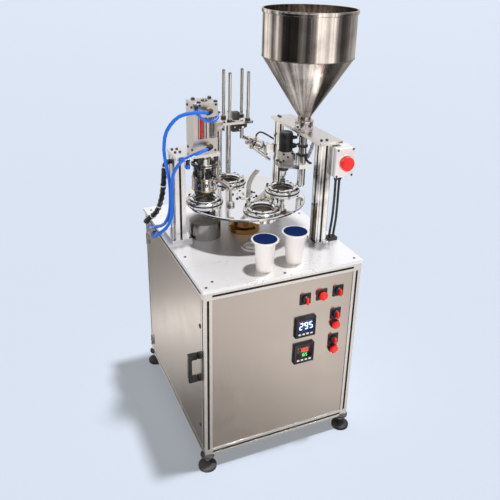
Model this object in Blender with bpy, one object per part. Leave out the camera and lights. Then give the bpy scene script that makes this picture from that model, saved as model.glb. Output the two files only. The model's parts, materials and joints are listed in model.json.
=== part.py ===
"""Rotary cup sealing machine: cabinet, turntable, sealing, lid and filling stations.

Metres, +Z up, front facing -Y. Every solid is one closed body in its own node.
"""
import math

import bmesh
import bpy
from mathutils import Matrix, Vector

# Clearance left between pieces that touch
GAP = 0.0003

# Turntable axis and size, from which the cabinet and the stations take their places
AXIS_X = 0.010
AXIS_Y = 0.045
DISC_RADIUS = 0.232

# Cabinet
CABINET_WIDTH = 2 * (DISC_RADIUS + 0.068)
FRONT_Y = AXIS_Y - DISC_RADIUS - 0.163
BACK_Y = AXIS_Y + DISC_RADIUS + 0.093
PROFILE = 0.030
FRAME_BOTTOM = 0.060
FRAME_TOP = 0.748
SHEET = 0.002
TABLE_THICK = 0.012
TABLE_OVERHANG = 0.005
TABLE_BACK_OVERHANG = 0.015
SLOT_WIDTH = 0.008
SLOT_LIP = 0.002
SLOT_DEPTH = 0.009
SLOT_ROOM = 0.0075
SLOT_FLOOR = 0.003

SIDE_X = CABINET_WIDTH / 2
TABLE_TOP = FRAME_TOP + TABLE_THICK
FOOT_RADIUS = 0.034

# Turntable and its stations
DISC_BOTTOM = TABLE_TOP + 0.130
DISC_THICK = 0.010
DISC_TOP = DISC_BOTTOM + DISC_THICK
STATION_RADIUS = DISC_RADIUS - 0.070
STATIONS = 4
MOULD_FLANGE = 0.068
MOULD_RIM = 0.058
MOULD_SLEEVE = 0.0515
MOULD_MOUTH = 0.0415
MOULD_TOP = DISC_TOP + 0.018
MOULD_BOTTOM = DISC_BOTTOM - 0.020
HUB_RADIUS = 0.062
SHAFT_RADIUS = 0.028

# Sealing station
SEAL_X = AXIS_X - STATION_RADIUS
SEAL_Y = AXIS_Y
SEAL_COLUMN_LEFT = AXIS_X - DISC_RADIUS - 0.048
SEAL_COLUMN_WIDTH = 0.040
SEAL_SHELF = TABLE_TOP + 0.325
SHELF_THICK = 0.012
SEAL_ROD_RADIUS = 0.012
HEATER_RADIUS = 0.047
HEATER_BOTTOM = MOULD_TOP + 0.033
HEATER_TOP = HEATER_BOTTOM + 0.050
HEAD_PLATE = HEATER_TOP + 0.044
CYLINDER_HALF = 0.0375
CYLINDER_FOOT = SEAL_SHELF + SHELF_THICK + GAP
CYLINDER_HEAD = CYLINDER_FOOT + 0.132
CYLINDER_TOP = CYLINDER_FOOT + 0.184

# Filling station: the right column holds its centre and width
RIGHT_COLUMN = Vector((AXIS_X + DISC_RADIUS - 0.0195, AXIS_Y - DISC_RADIUS + 0.024, 0.045))
REAR_COLUMN = 0.030
REAR_CORNER = Vector((AXIS_X + 0.8405 * DISC_RADIUS, AXIS_Y + 0.5604 * DISC_RADIUS))
SLAB_LEFT = RIGHT_COLUMN.x - 0.0295
SLAB_RIGHT = RIGHT_COLUMN.x + 0.0605
SLAB_FRONT = RIGHT_COLUMN.y - 0.025
SLAB_BACK = REAR_CORNER.y + REAR_COLUMN + 0.003
SLAB_BOTTOM = TABLE_TOP + 0.385
SLAB_TOP = SLAB_BOTTOM + 0.012
HOPPER_X = RIGHT_COLUMN.x + 0.0055
HOPPER_Y = AXIS_Y - 0.045
HOPPER_RADIUS = 0.167
HOPPER_WALL = 0.002
NECK_RADIUS = 0.025
NECK_COLLAR = 0.034
NECK_LOW = SLAB_TOP + GAP
NECK_HIGH = NECK_LOW + 0.033
CONE_HIGH = NECK_HIGH + 0.235
HOPPER_RIM = CONE_HIGH + 0.163
NOZZLE_X = AXIS_X + STATION_RADIUS
NOZZLE_Y = AXIS_Y
FILL_ARM = DISC_TOP + 0.103
FILL_ARM_THICK = 0.017

# Lid magazine and pick-up arm
LIDS_X = AXIS_X + 0.023
LIDS_Y = AXIS_Y + STATION_RADIUS - 0.007
TOWER_Y = AXIS_Y + DISC_RADIUS + 0.039
LIDS_PLATE = TABLE_TOP + 0.390
PIVOT = Vector((REAR_CORNER.x - 0.027, REAR_CORNER.y + 0.051, TABLE_TOP + 0.265))
PIN_RADIUS = 0.006
ARM_RADIUS = 0.0175

# Controls on the front panel: x, z
SELECTORS = {"selector_1": (SIDE_X - 0.221, FRAME_TOP - 0.103),
             "selector_2": (SIDE_X - 0.088, FRAME_TOP - 0.097),
             "selector_3": (SIDE_X - 0.091, FRAME_TOP - 0.191),
             "selector_4": (SIDE_X - 0.092, FRAME_TOP - 0.302)}
BUTTONS = {"start_button": (SIDE_X - 0.155, FRAME_TOP - 0.099),
           "reset_button": (SIDE_X - 0.091, FRAME_TOP - 0.236),
           "stop_button": (SIDE_X - 0.091, FRAME_TOP - 0.343)}
CONTROLLERS = {"speed_controller": (SIDE_X - 0.216, FRAME_TOP - 0.217),
               "heat_controller": (SIDE_X - 0.216, FRAME_TOP - 0.329)}
CUPS = ((-0.057, FRONT_Y + 0.061), (0.067, FRONT_Y + 0.078))
LEGEND = 0.042
LEGEND_DEPTH = 0.003
PANEL_FACE = FRONT_Y + 0.002
STEM_RADIUS = 0.008

# Emergency stop station on the right column
STOP_BOX = Vector((0.075, 0.060, 0.110))
STOP_BOX_AT = Vector((RIGHT_COLUMN.x + RIGHT_COLUMN.z / 2 + GAP + STOP_BOX.x / 2,
                      RIGHT_COLUMN.y - 0.023, TABLE_TOP + 0.323))

# Outermost reach, for the centred origin
HANDLE_REACH = 0.034
HANDLE_Y = FRONT_Y + 0.074
LEFT_REACH = -SIDE_X - HANDLE_REACH
RIGHT_REACH = HOPPER_X + HOPPER_RADIUS + 0.004
FRONT_REACH = PANEL_FACE - 0.025
TABLE_BACK = BACK_Y + TABLE_BACK_OVERHANG
BACK_REACH = BACK_Y - PROFILE / 2 + FOOT_RADIUS
MIDDLE = Vector(((LEFT_REACH + RIGHT_REACH) / 2, (FRONT_REACH + BACK_REACH) / 2, 0.0))

FINISHES = {
    "aluminium": ((0.62, 0.63, 0.64, 1), 0.35, 1.0),
    "stainless": ((0.60, 0.57, 0.53, 1), 0.30, 1.0),
    "polished": ((0.80, 0.80, 0.80, 1), 0.12, 1.0),
    "brass": ((0.72, 0.50, 0.20, 1), 0.25, 1.0),
    "black": ((0.02, 0.02, 0.022, 1), 0.45, 0.0),
    "red": ((0.75, 0.02, 0.01, 1), 0.30, 0.0),
    "blue": ((0.01, 0.13, 0.75, 1), 0.30, 0.0),
    "grey": ((0.62, 0.63, 0.62, 1), 0.45, 0.0),
    "white": ((0.86, 0.87, 0.88, 1), 0.35, 0.0),
    "navy": ((0.01, 0.02, 0.15, 1), 0.25, 0.0),
    "motor": ((0.12, 0.20, 0.32, 1), 0.45, 0.2),
}


def clear_scene():
    """Empty the file so that the script can be run again."""
    for item in list(bpy.data.objects):
        bpy.data.objects.remove(item, do_unlink=True)
    for store in (bpy.data.meshes, bpy.data.materials, bpy.data.curves):
        for block in list(store):
            store.remove(block)


def finish(name):
    """Return the shared material called name."""
    found = bpy.data.materials.get(name)
    if found:
        return found
    colour, roughness, metallic = FINISHES[name]
    made = bpy.data.materials.new(name)
    made.use_nodes = True
    shader = made.node_tree.nodes["Principled BSDF"]
    shader.inputs["Base Color"].default_value = colour
    shader.inputs["Roughness"].default_value = roughness
    shader.inputs["Metallic"].default_value = metallic
    return made


def make_object(bm, name, look, round_piece=False):
    """Turn a bmesh into a named object under the machine's root."""
    bmesh.ops.recalc_face_normals(bm, faces=bm.faces)
    mesh = bpy.data.meshes.new(name)
    bm.to_mesh(mesh)
    bm.free()
    mesh.materials.append(finish(look))
    piece = bpy.data.objects.new(name, mesh)
    bpy.context.scene.collection.objects.link(piece)
    if round_piece:
        mesh.shade_smooth()
        mesh.set_sharp_from_angle(angle=math.radians(35))
    piece.parent = bpy.data.objects["machine"]
    return piece


def prism(name, look, outline, low, high, axis="Z"):
    """Extrude a closed outline between two heights along an axis.

    The outline lies in XY for axis Z, in XZ for axis Y and in YZ for axis X.
    """
    bm = bmesh.new()
    place = {"Z": lambda a, b, h: (a, b, h),
             "Y": lambda a, b, h: (a, h, b),
             "X": lambda a, b, h: (h, a, b)}[axis]
    rings = [[bm.verts.new(place(a, b, height)) for a, b in outline]
             for height in (low, high)]
    bm.faces.new(rings[0])
    bm.faces.new(list(reversed(rings[1])))
    count = len(outline)
    for i in range(count):
        j = (i + 1) % count
        bm.faces.new((rings[0][i], rings[0][j], rings[1][j], rings[1][i]))
    return make_object(bm, name, look)


def box(name, look, low, high):
    """A rectangular block between two opposite corners."""
    outline = [(low[0], low[1]), (high[0], low[1]), (high[0], high[1]), (low[0], high[1])]
    return prism(name, look, outline, low[2], high[2])


def revolve(name, look, profile, segments=48, at=(0, 0, 0), axis="Z"):
    """Turn a closed profile of (radius, height) points about an axis through a point."""
    bm = bmesh.new()
    columns = []
    for radius, height in profile:
        if radius < 1e-7:
            columns.append([bm.verts.new((0, 0, height))])
            continue
        ring = []
        for i in range(segments):
            turn = 2 * math.pi * i / segments
            ring.append(bm.verts.new((radius * math.cos(turn), radius * math.sin(turn), height)))
        columns.append(ring)
    count = len(columns)
    for k in range(count):
        first, second = columns[k], columns[(k + 1) % count]
        if len(first) == 1 and len(second) == 1:
            continue
        for i in range(segments):
            j = (i + 1) % segments
            corners = [first[i % len(first)], first[j % len(first)],
                       second[j % len(second)], second[i % len(second)]]
            bm.faces.new(list(dict.fromkeys(corners)))
    turns = {"Z": Matrix.Identity(4), "Y": Matrix.Rotation(math.radians(90), 4, "X"),
             "X": Matrix.Rotation(math.radians(90), 4, "Y")}
    bmesh.ops.transform(bm, matrix=Matrix.Translation(at) @ turns[axis], verts=bm.verts)
    return make_object(bm, name, look, round_piece=True)


def rod(name, look, centre, radius, low, high, segments=24):
    """An upright round bar."""
    profile = [(0, low), (radius, low), (radius, high), (0, high)]
    return revolve(name, look, profile, segments, at=(centre[0], centre[1], 0))


def bar_between(name, look, start, end, radius, segments=20):
    """A round bar between two points."""
    start, end = Vector(start), Vector(end)
    length = (end - start).length
    piece = revolve(name, look, [(0, 0), (radius, 0), (radius, length), (0, length)], segments)
    turn = Vector((0, 0, 1)).rotation_difference(end - start).to_matrix().to_4x4()
    piece.data.transform(Matrix.Translation(start) @ turn)
    return piece


def boolean(target, tool, operation):
    """Combine two closed solids and drop the tool."""
    modifier = target.modifiers.new(operation.lower(), "BOOLEAN")
    modifier.operation = operation
    modifier.solver = "EXACT"
    modifier.object = tool
    bpy.context.view_layer.update()
    graph = bpy.context.evaluated_depsgraph_get()
    mesh = bpy.data.meshes.new_from_object(target.evaluated_get(graph))
    target.modifiers.clear()
    target.data = mesh
    bpy.data.objects.remove(tool, do_unlink=True)


def join(target, *tools):
    """Weld overlapping solids into the target."""
    for tool in tools:
        boolean(target, tool, "UNION")
    return target


def cut(target, *tools):
    """Take solids out of the target."""
    for tool in tools:
        boolean(target, tool, "DIFFERENCE")
    return target


def slot_side(centre, outer, sign):
    """Points of one slot, from one lip to the other, for a side at distance outer."""
    half = SLOT_WIDTH / 2
    deep = outer - SLOT_DEPTH
    lip = outer - SLOT_LIP
    points = [(outer, -half), (lip, -half), (lip, -SLOT_ROOM), (deep, -SLOT_FLOOR),
              (deep, SLOT_FLOOR), (lip, SLOT_ROOM), (lip, half), (outer, half)]
    return [(depth, centre + sign * across) for depth, across in points]


def slotted_outline(width, depth, modules_x, modules_y):
    """Cross-section of a slotted aluminium profile, anticlockwise, centred."""
    def centres(size, count):
        step = size / count
        return [-size / 2 + step * (i + 0.5) for i in range(count)]
    half_x, half_y = width / 2, depth / 2
    outline = [(half_x, -half_y)]
    for centre in centres(depth, modules_y):
        outline += slot_side(centre, half_x, 1)
    outline.append((half_x, half_y))
    for centre in reversed(centres(width, modules_x)):
        outline += [(b, a) for a, b in slot_side(centre, half_y, -1)]
    outline.append((-half_x, half_y))
    for centre in reversed(centres(depth, modules_y)):
        outline += [(-a, b) for a, b in slot_side(centre, half_x, -1)]
    outline.append((-half_x, -half_y))
    for centre in centres(width, modules_x):
        outline += [(b, -a) for a, b in slot_side(centre, half_y, 1)]
    return outline


def column(name, centre, size, modules, low, high):
    """An upright slotted profile."""
    outline = [(centre[0] + a, centre[1] + b)
               for a, b in slotted_outline(size[0], size[1], modules[0], modules[1])]
    return prism(name, "aluminium", outline, low, high)


def rail_ring(name, low, high):
    """Four mitred rails round the cabinet, with a slot in each outer face."""
    ring = box(name, "aluminium", (-SIDE_X, FRONT_Y, low), (SIDE_X, BACK_Y, high))
    inner = SIDE_X - PROFILE
    cut(ring, box("hole", "aluminium", (-inner, FRONT_Y + PROFILE, low - 0.01),
                  (inner, BACK_Y - PROFILE, high + 0.01)))
    middle = (low + high) / 2
    bottom, top = middle - SLOT_WIDTH / 2, middle + SLOT_WIDTH / 2
    deep = 0.006
    for front, back in ((FRONT_Y - 0.01, FRONT_Y + deep), (BACK_Y - deep, BACK_Y + 0.01)):
        cut(ring, box("slot", "aluminium", (-inner, front, bottom), (inner, back, top)))
    for left, right in ((-SIDE_X - 0.01, -SIDE_X + deep), (SIDE_X - deep, SIDE_X + 0.01)):
        cut(ring, box("slot", "aluminium", (left, FRONT_Y + PROFILE, bottom),
                      (right, BACK_Y - PROFILE, top)))
    return ring


def build_cabinet():
    """Posts, rail rings, panels, door, table plate and levelling feet."""
    rail_ring("lower_rail_frame", FRAME_BOTTOM, FRAME_BOTTOM + PROFILE)
    rail_ring("upper_rail_frame", FRAME_TOP - PROFILE, FRAME_TOP - GAP)
    post_x = SIDE_X - PROFILE / 2
    post_y = {"front": FRONT_Y + PROFILE / 2, "rear": BACK_Y - PROFILE / 2}
    post_low = FRAME_BOTTOM + PROFILE + GAP
    post_high = FRAME_TOP - PROFILE - GAP
    for side, sign in (("left", -1), ("right", 1)):
        for end, y in post_y.items():
            column(f"{end}_{side}_post", (sign * post_x, y), (PROFILE, PROFILE), (1, 1),
                   post_low, post_high)
            foot = [(0, 0), (FOOT_RADIUS, 0), (FOOT_RADIUS, 0.010), (0.020, 0.020),
                    (0.012, 0.022), (0.012, 0.026), (0.006, 0.026), (0.006, 0.045),
                    (0.011, 0.045), (0.011, 0.054), (0.026, 0.054),
                    (0.026, FRAME_BOTTOM - GAP), (0, FRAME_BOTTOM - GAP)]
            revolve(f"{end}_{side}_foot", "black", foot, 20, at=(sign * post_x, y, 0))
    table = box("table_plate", "stainless",
                (-SIDE_X - TABLE_OVERHANG, FRONT_Y - TABLE_OVERHANG, FRAME_TOP),
                (SIDE_X + TABLE_OVERHANG, TABLE_BACK, TABLE_TOP))
    cut(table, rod("bore", "stainless", (AXIS_X, AXIS_Y), SHAFT_RADIUS + 0.004,
                   FRAME_TOP - 0.01, TABLE_TOP + 0.01, 32))
    build_panels(post_low, post_high)
    build_door(post_low, post_high)


def build_panels(low, high):
    """Right, back and bottom sheets and the pierced front panel."""
    inner = SIDE_X - PROFILE - GAP
    front, back = FRONT_Y + PROFILE + GAP, BACK_Y - PROFILE - GAP
    box("right_panel", "stainless", (SIDE_X - 0.004, front, low), (SIDE_X - 0.002, back, high))
    box("back_panel", "stainless", (-inner, BACK_Y - 0.004, low), (inner, BACK_Y - 0.002, high))
    box("base_tray", "stainless", (-inner, front, FRAME_BOTTOM + PROFILE - 0.006),
        (inner, back, FRAME_BOTTOM + PROFILE - 0.004))
    panel = box("front_panel", "stainless", (-inner, PANEL_FACE, low),
                (inner, PANEL_FACE + SHEET, high))
    half = LEGEND / 2
    for x, z in list(SELECTORS.values()) + [BUTTONS["start_button"]]:
        join(panel, box("legend", "black", (x - half, PANEL_FACE - LEGEND_DEPTH, z - half),
                        (x + half, PANEL_FACE + SHEET / 2, z + half)))
    for x, z in list(SELECTORS.values()) + list(BUTTONS.values()):
        cut(panel, revolve("bore", "black", [(0, -0.02), (STEM_RADIUS + 0.0005, -0.02),
                                             (STEM_RADIUS + 0.0005, 0.02), (0, 0.02)], 24,
                           at=(x, PANEL_FACE, z), axis="Y"))
    for x, z in CONTROLLERS.values():
        half = 0.038
        cut(panel, box("cutout", "black", (x - half, PANEL_FACE - 0.02, z - half),
                       (x + half, PANEL_FACE + 0.02, z + half)))


def build_door(low, high):
    """Left door with its upright handle; the fixed hinge leaves sit on the rear post."""
    front, back = FRONT_Y + PROFILE + 0.0015, BACK_Y - PROFILE - 0.0015
    hinge_x, hinge_y = -SIDE_X - 0.0053, BACK_Y - PROFILE
    post = bpy.data.objects["rear_left_post"]
    door = box("door", "stainless", (-SIDE_X, front, low + 0.001),
               (-SIDE_X + SHEET, back, high - 0.001))
    for z in (high - 0.078, low + 0.040):
        leaf = box("leaf", "black", (-SIDE_X - 0.002, hinge_y - 0.022, z + GAP),
                   (-SIDE_X + 0.001, hinge_y - 0.003, z + 0.025))
        web = box("web", "black", (hinge_x, hinge_y - 0.004, z + GAP),
                  (-SIDE_X + 0.0005, hinge_y - 0.002, z + 0.025))
        barrel = rod("barrel", "black", (hinge_x, hinge_y), 0.004, z + GAP, z + 0.025, 12)
        join(door, leaf, join(barrel, web))
        fixed = box("fixed leaf", "black", (-SIDE_X - 0.0023, hinge_y + 0.003, z - 0.025),
                    (-SIDE_X + 0.001, hinge_y + 0.025, z))
        join(fixed, join(rod("barrel", "black", (hinge_x, hinge_y), 0.004, z - 0.025, z, 12),
                         box("web", "black", (hinge_x, hinge_y + 0.001, z - 0.025),
                             (-SIDE_X - 0.001, hinge_y + 0.0045, z))))
        join(post, fixed)
    bottom, top, grip, slope = 0.353, 0.469, 0.020, 0.010
    face = -SIDE_X - GAP
    outer = -SIDE_X - HANDLE_REACH
    inside = outer + 0.012
    outline = [(face, bottom), (outer + slope, bottom), (outer, bottom + slope),
               (outer, top - slope), (outer + slope, top), (face, top), (face, top - grip),
               (inside, top - grip - 0.003), (inside, bottom + grip + 0.003),
               (face, bottom + grip)]
    prism("door_handle", "black", outline, HANDLE_Y - 0.011, HANDLE_Y + 0.011, axis="Y")


def build_drive():
    """Indexing gearbox and motor under the table, brass hub above it."""
    top = FRAME_TOP - GAP
    gearbox = box("indexing_gearbox", "grey", (AXIS_X - 0.085, AXIS_Y - 0.100, top - 0.130),
                  (AXIS_X + 0.085, AXIS_Y + 0.085, top))
    cut(gearbox, rod("bore", "grey", (AXIS_X, AXIS_Y), SHAFT_RADIUS + 0.003, top - 0.045,
                     top + 0.01, 32))
    face = AXIS_X - 0.085 - GAP
    motor = revolve("drive_motor", "motor",
                    [(0, 0), (0.040, 0), (0.040, 0.006), (0.036, 0.010), (0.036, 0.120),
                     (0.030, 0.128), (0, 0.128)], 32)
    motor.data.transform(Matrix.Translation((face, AXIS_Y - 0.030, top - 0.075))
                         @ Matrix.Rotation(math.radians(-90), 4, "Y"))
    low = TABLE_TOP + 0.0005
    high = DISC_BOTTOM - GAP
    hub = [(0, top - 0.040), (SHAFT_RADIUS, top - 0.040), (SHAFT_RADIUS, low),
           (HUB_RADIUS, low), (HUB_RADIUS, low + 0.018), (HUB_RADIUS - 0.012, low + 0.024),
           (HUB_RADIUS - 0.012, high - 0.026), (HUB_RADIUS, high - 0.020),
           (HUB_RADIUS, high), (0, high)]
    revolve("hub_flange", "brass", hub, 36, at=(AXIS_X, AXIS_Y, 0))


def build_turntable():
    """Disc with its four removable cup moulds, and the lifting pillar under the head."""
    disc = revolve("turntable", "polished",
                   [(0, DISC_BOTTOM), (DISC_RADIUS - 0.002, DISC_BOTTOM),
                    (DISC_RADIUS, DISC_BOTTOM + 0.002), (DISC_RADIUS, DISC_TOP - 0.002),
                    (DISC_RADIUS - 0.002, DISC_TOP), (0, DISC_TOP)], 64,
                   at=(AXIS_X, AXIS_Y, 0))
    seat = DISC_TOP + GAP
    mould = [(MOULD_MOUTH + 0.004, MOULD_TOP), (MOULD_MOUTH, MOULD_TOP - 0.005),
             (MOULD_MOUTH - 0.004, MOULD_BOTTOM), (MOULD_SLEEVE, MOULD_BOTTOM),
             (MOULD_SLEEVE, seat), (MOULD_FLANGE, seat), (MOULD_FLANGE, MOULD_TOP - 0.008),
             (MOULD_FLANGE - 0.003, MOULD_TOP - 0.006), (MOULD_RIM, MOULD_TOP - 0.006),
             (MOULD_RIM, MOULD_TOP - 0.001), (MOULD_RIM - 0.001, MOULD_TOP)]
    for index in range(STATIONS):
        turn = 2 * math.pi * index / STATIONS
        x = AXIS_X + STATION_RADIUS * math.cos(turn)
        y = AXIS_Y + STATION_RADIUS * math.sin(turn)
        cut(disc, rod("bore", "polished", (x, y), MOULD_SLEEVE + GAP, DISC_BOTTOM - 0.01,
                      DISC_TOP + 0.01, 32))
        revolve(f"cup_mould_{index + 1}", "polished", mould, 32, at=(x, y, 0))
    rod("cup_support", "polished", (SEAL_X, SEAL_Y), 0.060, TABLE_TOP + GAP,
        MOULD_BOTTOM - 0.046, 40)


def build_sealing_station():
    """Column with its shelf, air cylinder, sprung rod and heated head."""
    width, depth = SEAL_COLUMN_WIDTH, 0.080
    left, right = SEAL_COLUMN_LEFT, SEAL_COLUMN_LEFT + SEAL_COLUMN_WIDTH
    front = SEAL_Y - 0.012
    post = box("sealing_column", "aluminium", (left - 0.022, front - 0.023, TABLE_TOP + GAP),
               (right + 0.015, front + depth + 0.017, TABLE_TOP + 0.012))
    join(post, column("profile", (left + width / 2, front + depth / 2), (width, depth), (1, 2),
                      TABLE_TOP + 0.008, SEAL_SHELF + 0.002))
    join(post, box("shelf", "aluminium", (left - 0.002, SEAL_Y - 0.042, SEAL_SHELF),
                   (SEAL_X + 0.045, front + depth + 0.002, SEAL_SHELF + SHELF_THICK)))
    cut(post, rod("bore", "aluminium", (SEAL_X, SEAL_Y), SEAL_ROD_RADIUS + 0.003,
                  SEAL_SHELF - 0.01, SEAL_SHELF + 0.02, 24))
    half = CYLINDER_HALF
    body = box("air_cylinder", "aluminium", (SEAL_X - half, SEAL_Y - half, CYLINDER_FOOT),
               (SEAL_X + half, SEAL_Y + half, CYLINDER_FOOT + 0.055))
    cap = box("cap", "aluminium", (SEAL_X - half, SEAL_Y - half, CYLINDER_HEAD),
              (SEAL_X + half, SEAL_Y + half, CYLINDER_TOP))
    plate = box("plate", "aluminium", (SEAL_X - half - 0.017, SEAL_Y - half, CYLINDER_FOOT),
                (SEAL_X - half + 0.001, SEAL_Y + half, CYLINDER_TOP))
    barrel = rod("barrel", "polished", (SEAL_X, SEAL_Y), 0.034, CYLINDER_FOOT + 0.040,
                 CYLINDER_HEAD + 0.010, 36)
    join(body, barrel, cap, plate)
    for sign_x in (-1, 1):
        for sign_y in (-1, 1):
            join(body, rod("tie", "polished", (SEAL_X + sign_x * 0.031, SEAL_Y + sign_y * 0.031),
                           0.004, CYLINDER_FOOT + 0.040, CYLINDER_TOP + 0.008, 10))
    rod_top = CYLINDER_FOOT + 0.108
    cut(body, rod("bore", "polished", (SEAL_X, SEAL_Y), SEAL_ROD_RADIUS + 0.0006,
                  CYLINDER_FOOT - 0.01, rod_top + 0.010, 24))
    foot = HEATER_TOP + GAP
    plate_top = HEAD_PLATE + 0.012
    profile = [(0, foot), (SEAL_ROD_RADIUS + 0.006, foot),
               (SEAL_ROD_RADIUS + 0.006, HEAD_PLATE), (0.050, HEAD_PLATE), (0.050, plate_top),
               (0.019, plate_top), (0.019, plate_top + 0.012),
               (SEAL_ROD_RADIUS, plate_top + 0.014), (SEAL_ROD_RADIUS, rod_top), (0, rod_top)]
    revolve("sealing_rod", "polished", profile, 24, at=(SEAL_X, SEAL_Y, 0))
    head = revolve("heater_head", "polished",
                   [(0, HEATER_BOTTOM + 0.006), (0.036, HEATER_BOTTOM + 0.006),
                    (0.038, HEATER_BOTTOM), (HEATER_RADIUS, HEATER_BOTTOM),
                    (HEATER_RADIUS, HEATER_TOP), (0, HEATER_TOP)], 40, at=(SEAL_X, SEAL_Y, 0))
    for index in range(4):
        turn = math.radians(45 + 90 * index)
        join(head, rod("pillar", "polished",
                       (SEAL_X + 0.036 * math.cos(turn), SEAL_Y + 0.036 * math.sin(turn)),
                       0.006, HEATER_TOP - 0.004, HEAD_PLATE - GAP, 10))


def build_lid_station():
    """Magazine on its tower, and the arm that takes the lids over."""
    tower = box("magazine_tower", "polished",
                (LIDS_X - 0.063, TOWER_Y - 0.026, TABLE_TOP + GAP),
                (LIDS_X + 0.047, TOWER_Y + 0.029, TABLE_TOP + 0.012))
    for x in (LIDS_X - 0.023, LIDS_X + 0.017):
        join(tower, rod("bar", "polished", (x, TOWER_Y), 0.011, TABLE_TOP + 0.006,
                        LIDS_PLATE - GAP, 20))
    plate = box("lid_magazine", "polished", (LIDS_X - 0.070, LIDS_Y - 0.045, LIDS_PLATE),
                (LIDS_X + 0.056, LIDS_Y + 0.045, LIDS_PLATE + 0.010))
    join(plate, box("tongue", "polished", (LIDS_X - 0.045, LIDS_Y + 0.040, LIDS_PLATE),
                    (LIDS_X + 0.032, TOWER_Y + 0.019, LIDS_PLATE + 0.010)))
    cut(plate, rod("hole", "polished", (LIDS_X, LIDS_Y), 0.030, LIDS_PLATE - 0.01,
                   LIDS_PLATE + 0.02, 32))
    for sign_x in (-1, 1):
        for sign_y in (-1, 1):
            join(plate, rod("bar", "polished", (LIDS_X + sign_x * 0.038, LIDS_Y + sign_y * 0.032),
                            0.0065, LIDS_PLATE + 0.005, LIDS_PLATE + 0.195, 12))
    upper = PIVOT + Vector((-0.072, 0, 0.032))
    lower = PIVOT + Vector((0.018, 0, -0.008))
    arm = bar_between("pick_up_arm", "polished", upper, lower, ARM_RADIUS, 20)
    knuckle = PIVOT + Vector((-0.064, 0, 0.010))
    join(arm, bar_between("guide", "polished", knuckle, PIVOT + Vector((0.022, 0, -0.058)),
                          0.008, 12))
    join(arm, box("bracket", "polished", knuckle + Vector((-0.009, -0.010, -0.010)),
                  knuckle + Vector((0.009, 0.010, 0.014))))
    pad_x = PIVOT.x - 0.118
    pad_top = LIDS_PLATE - 0.016
    neck = Vector((pad_x, LIDS_Y, pad_top - 0.046))
    join(arm, bar_between("finger", "polished", upper + Vector((0.006, 0, -0.002)), neck,
                          0.008, 12))
    pad = [(0, pad_top - 0.054), (0.0075, pad_top - 0.054), (0.0075, pad_top - 0.016),
           (0.022, pad_top - 0.006), (0.022, pad_top), (0, pad_top)]
    join(arm, revolve("pad", "black", pad, 20, at=(neck.x, neck.y, 0)))
    cut(arm, bar_between("bore", "black", PIVOT + Vector((0, -0.03, 0)),
                         PIVOT + Vector((0, 0.03, 0)), PIN_RADIUS + 0.0005, 20))


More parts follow.
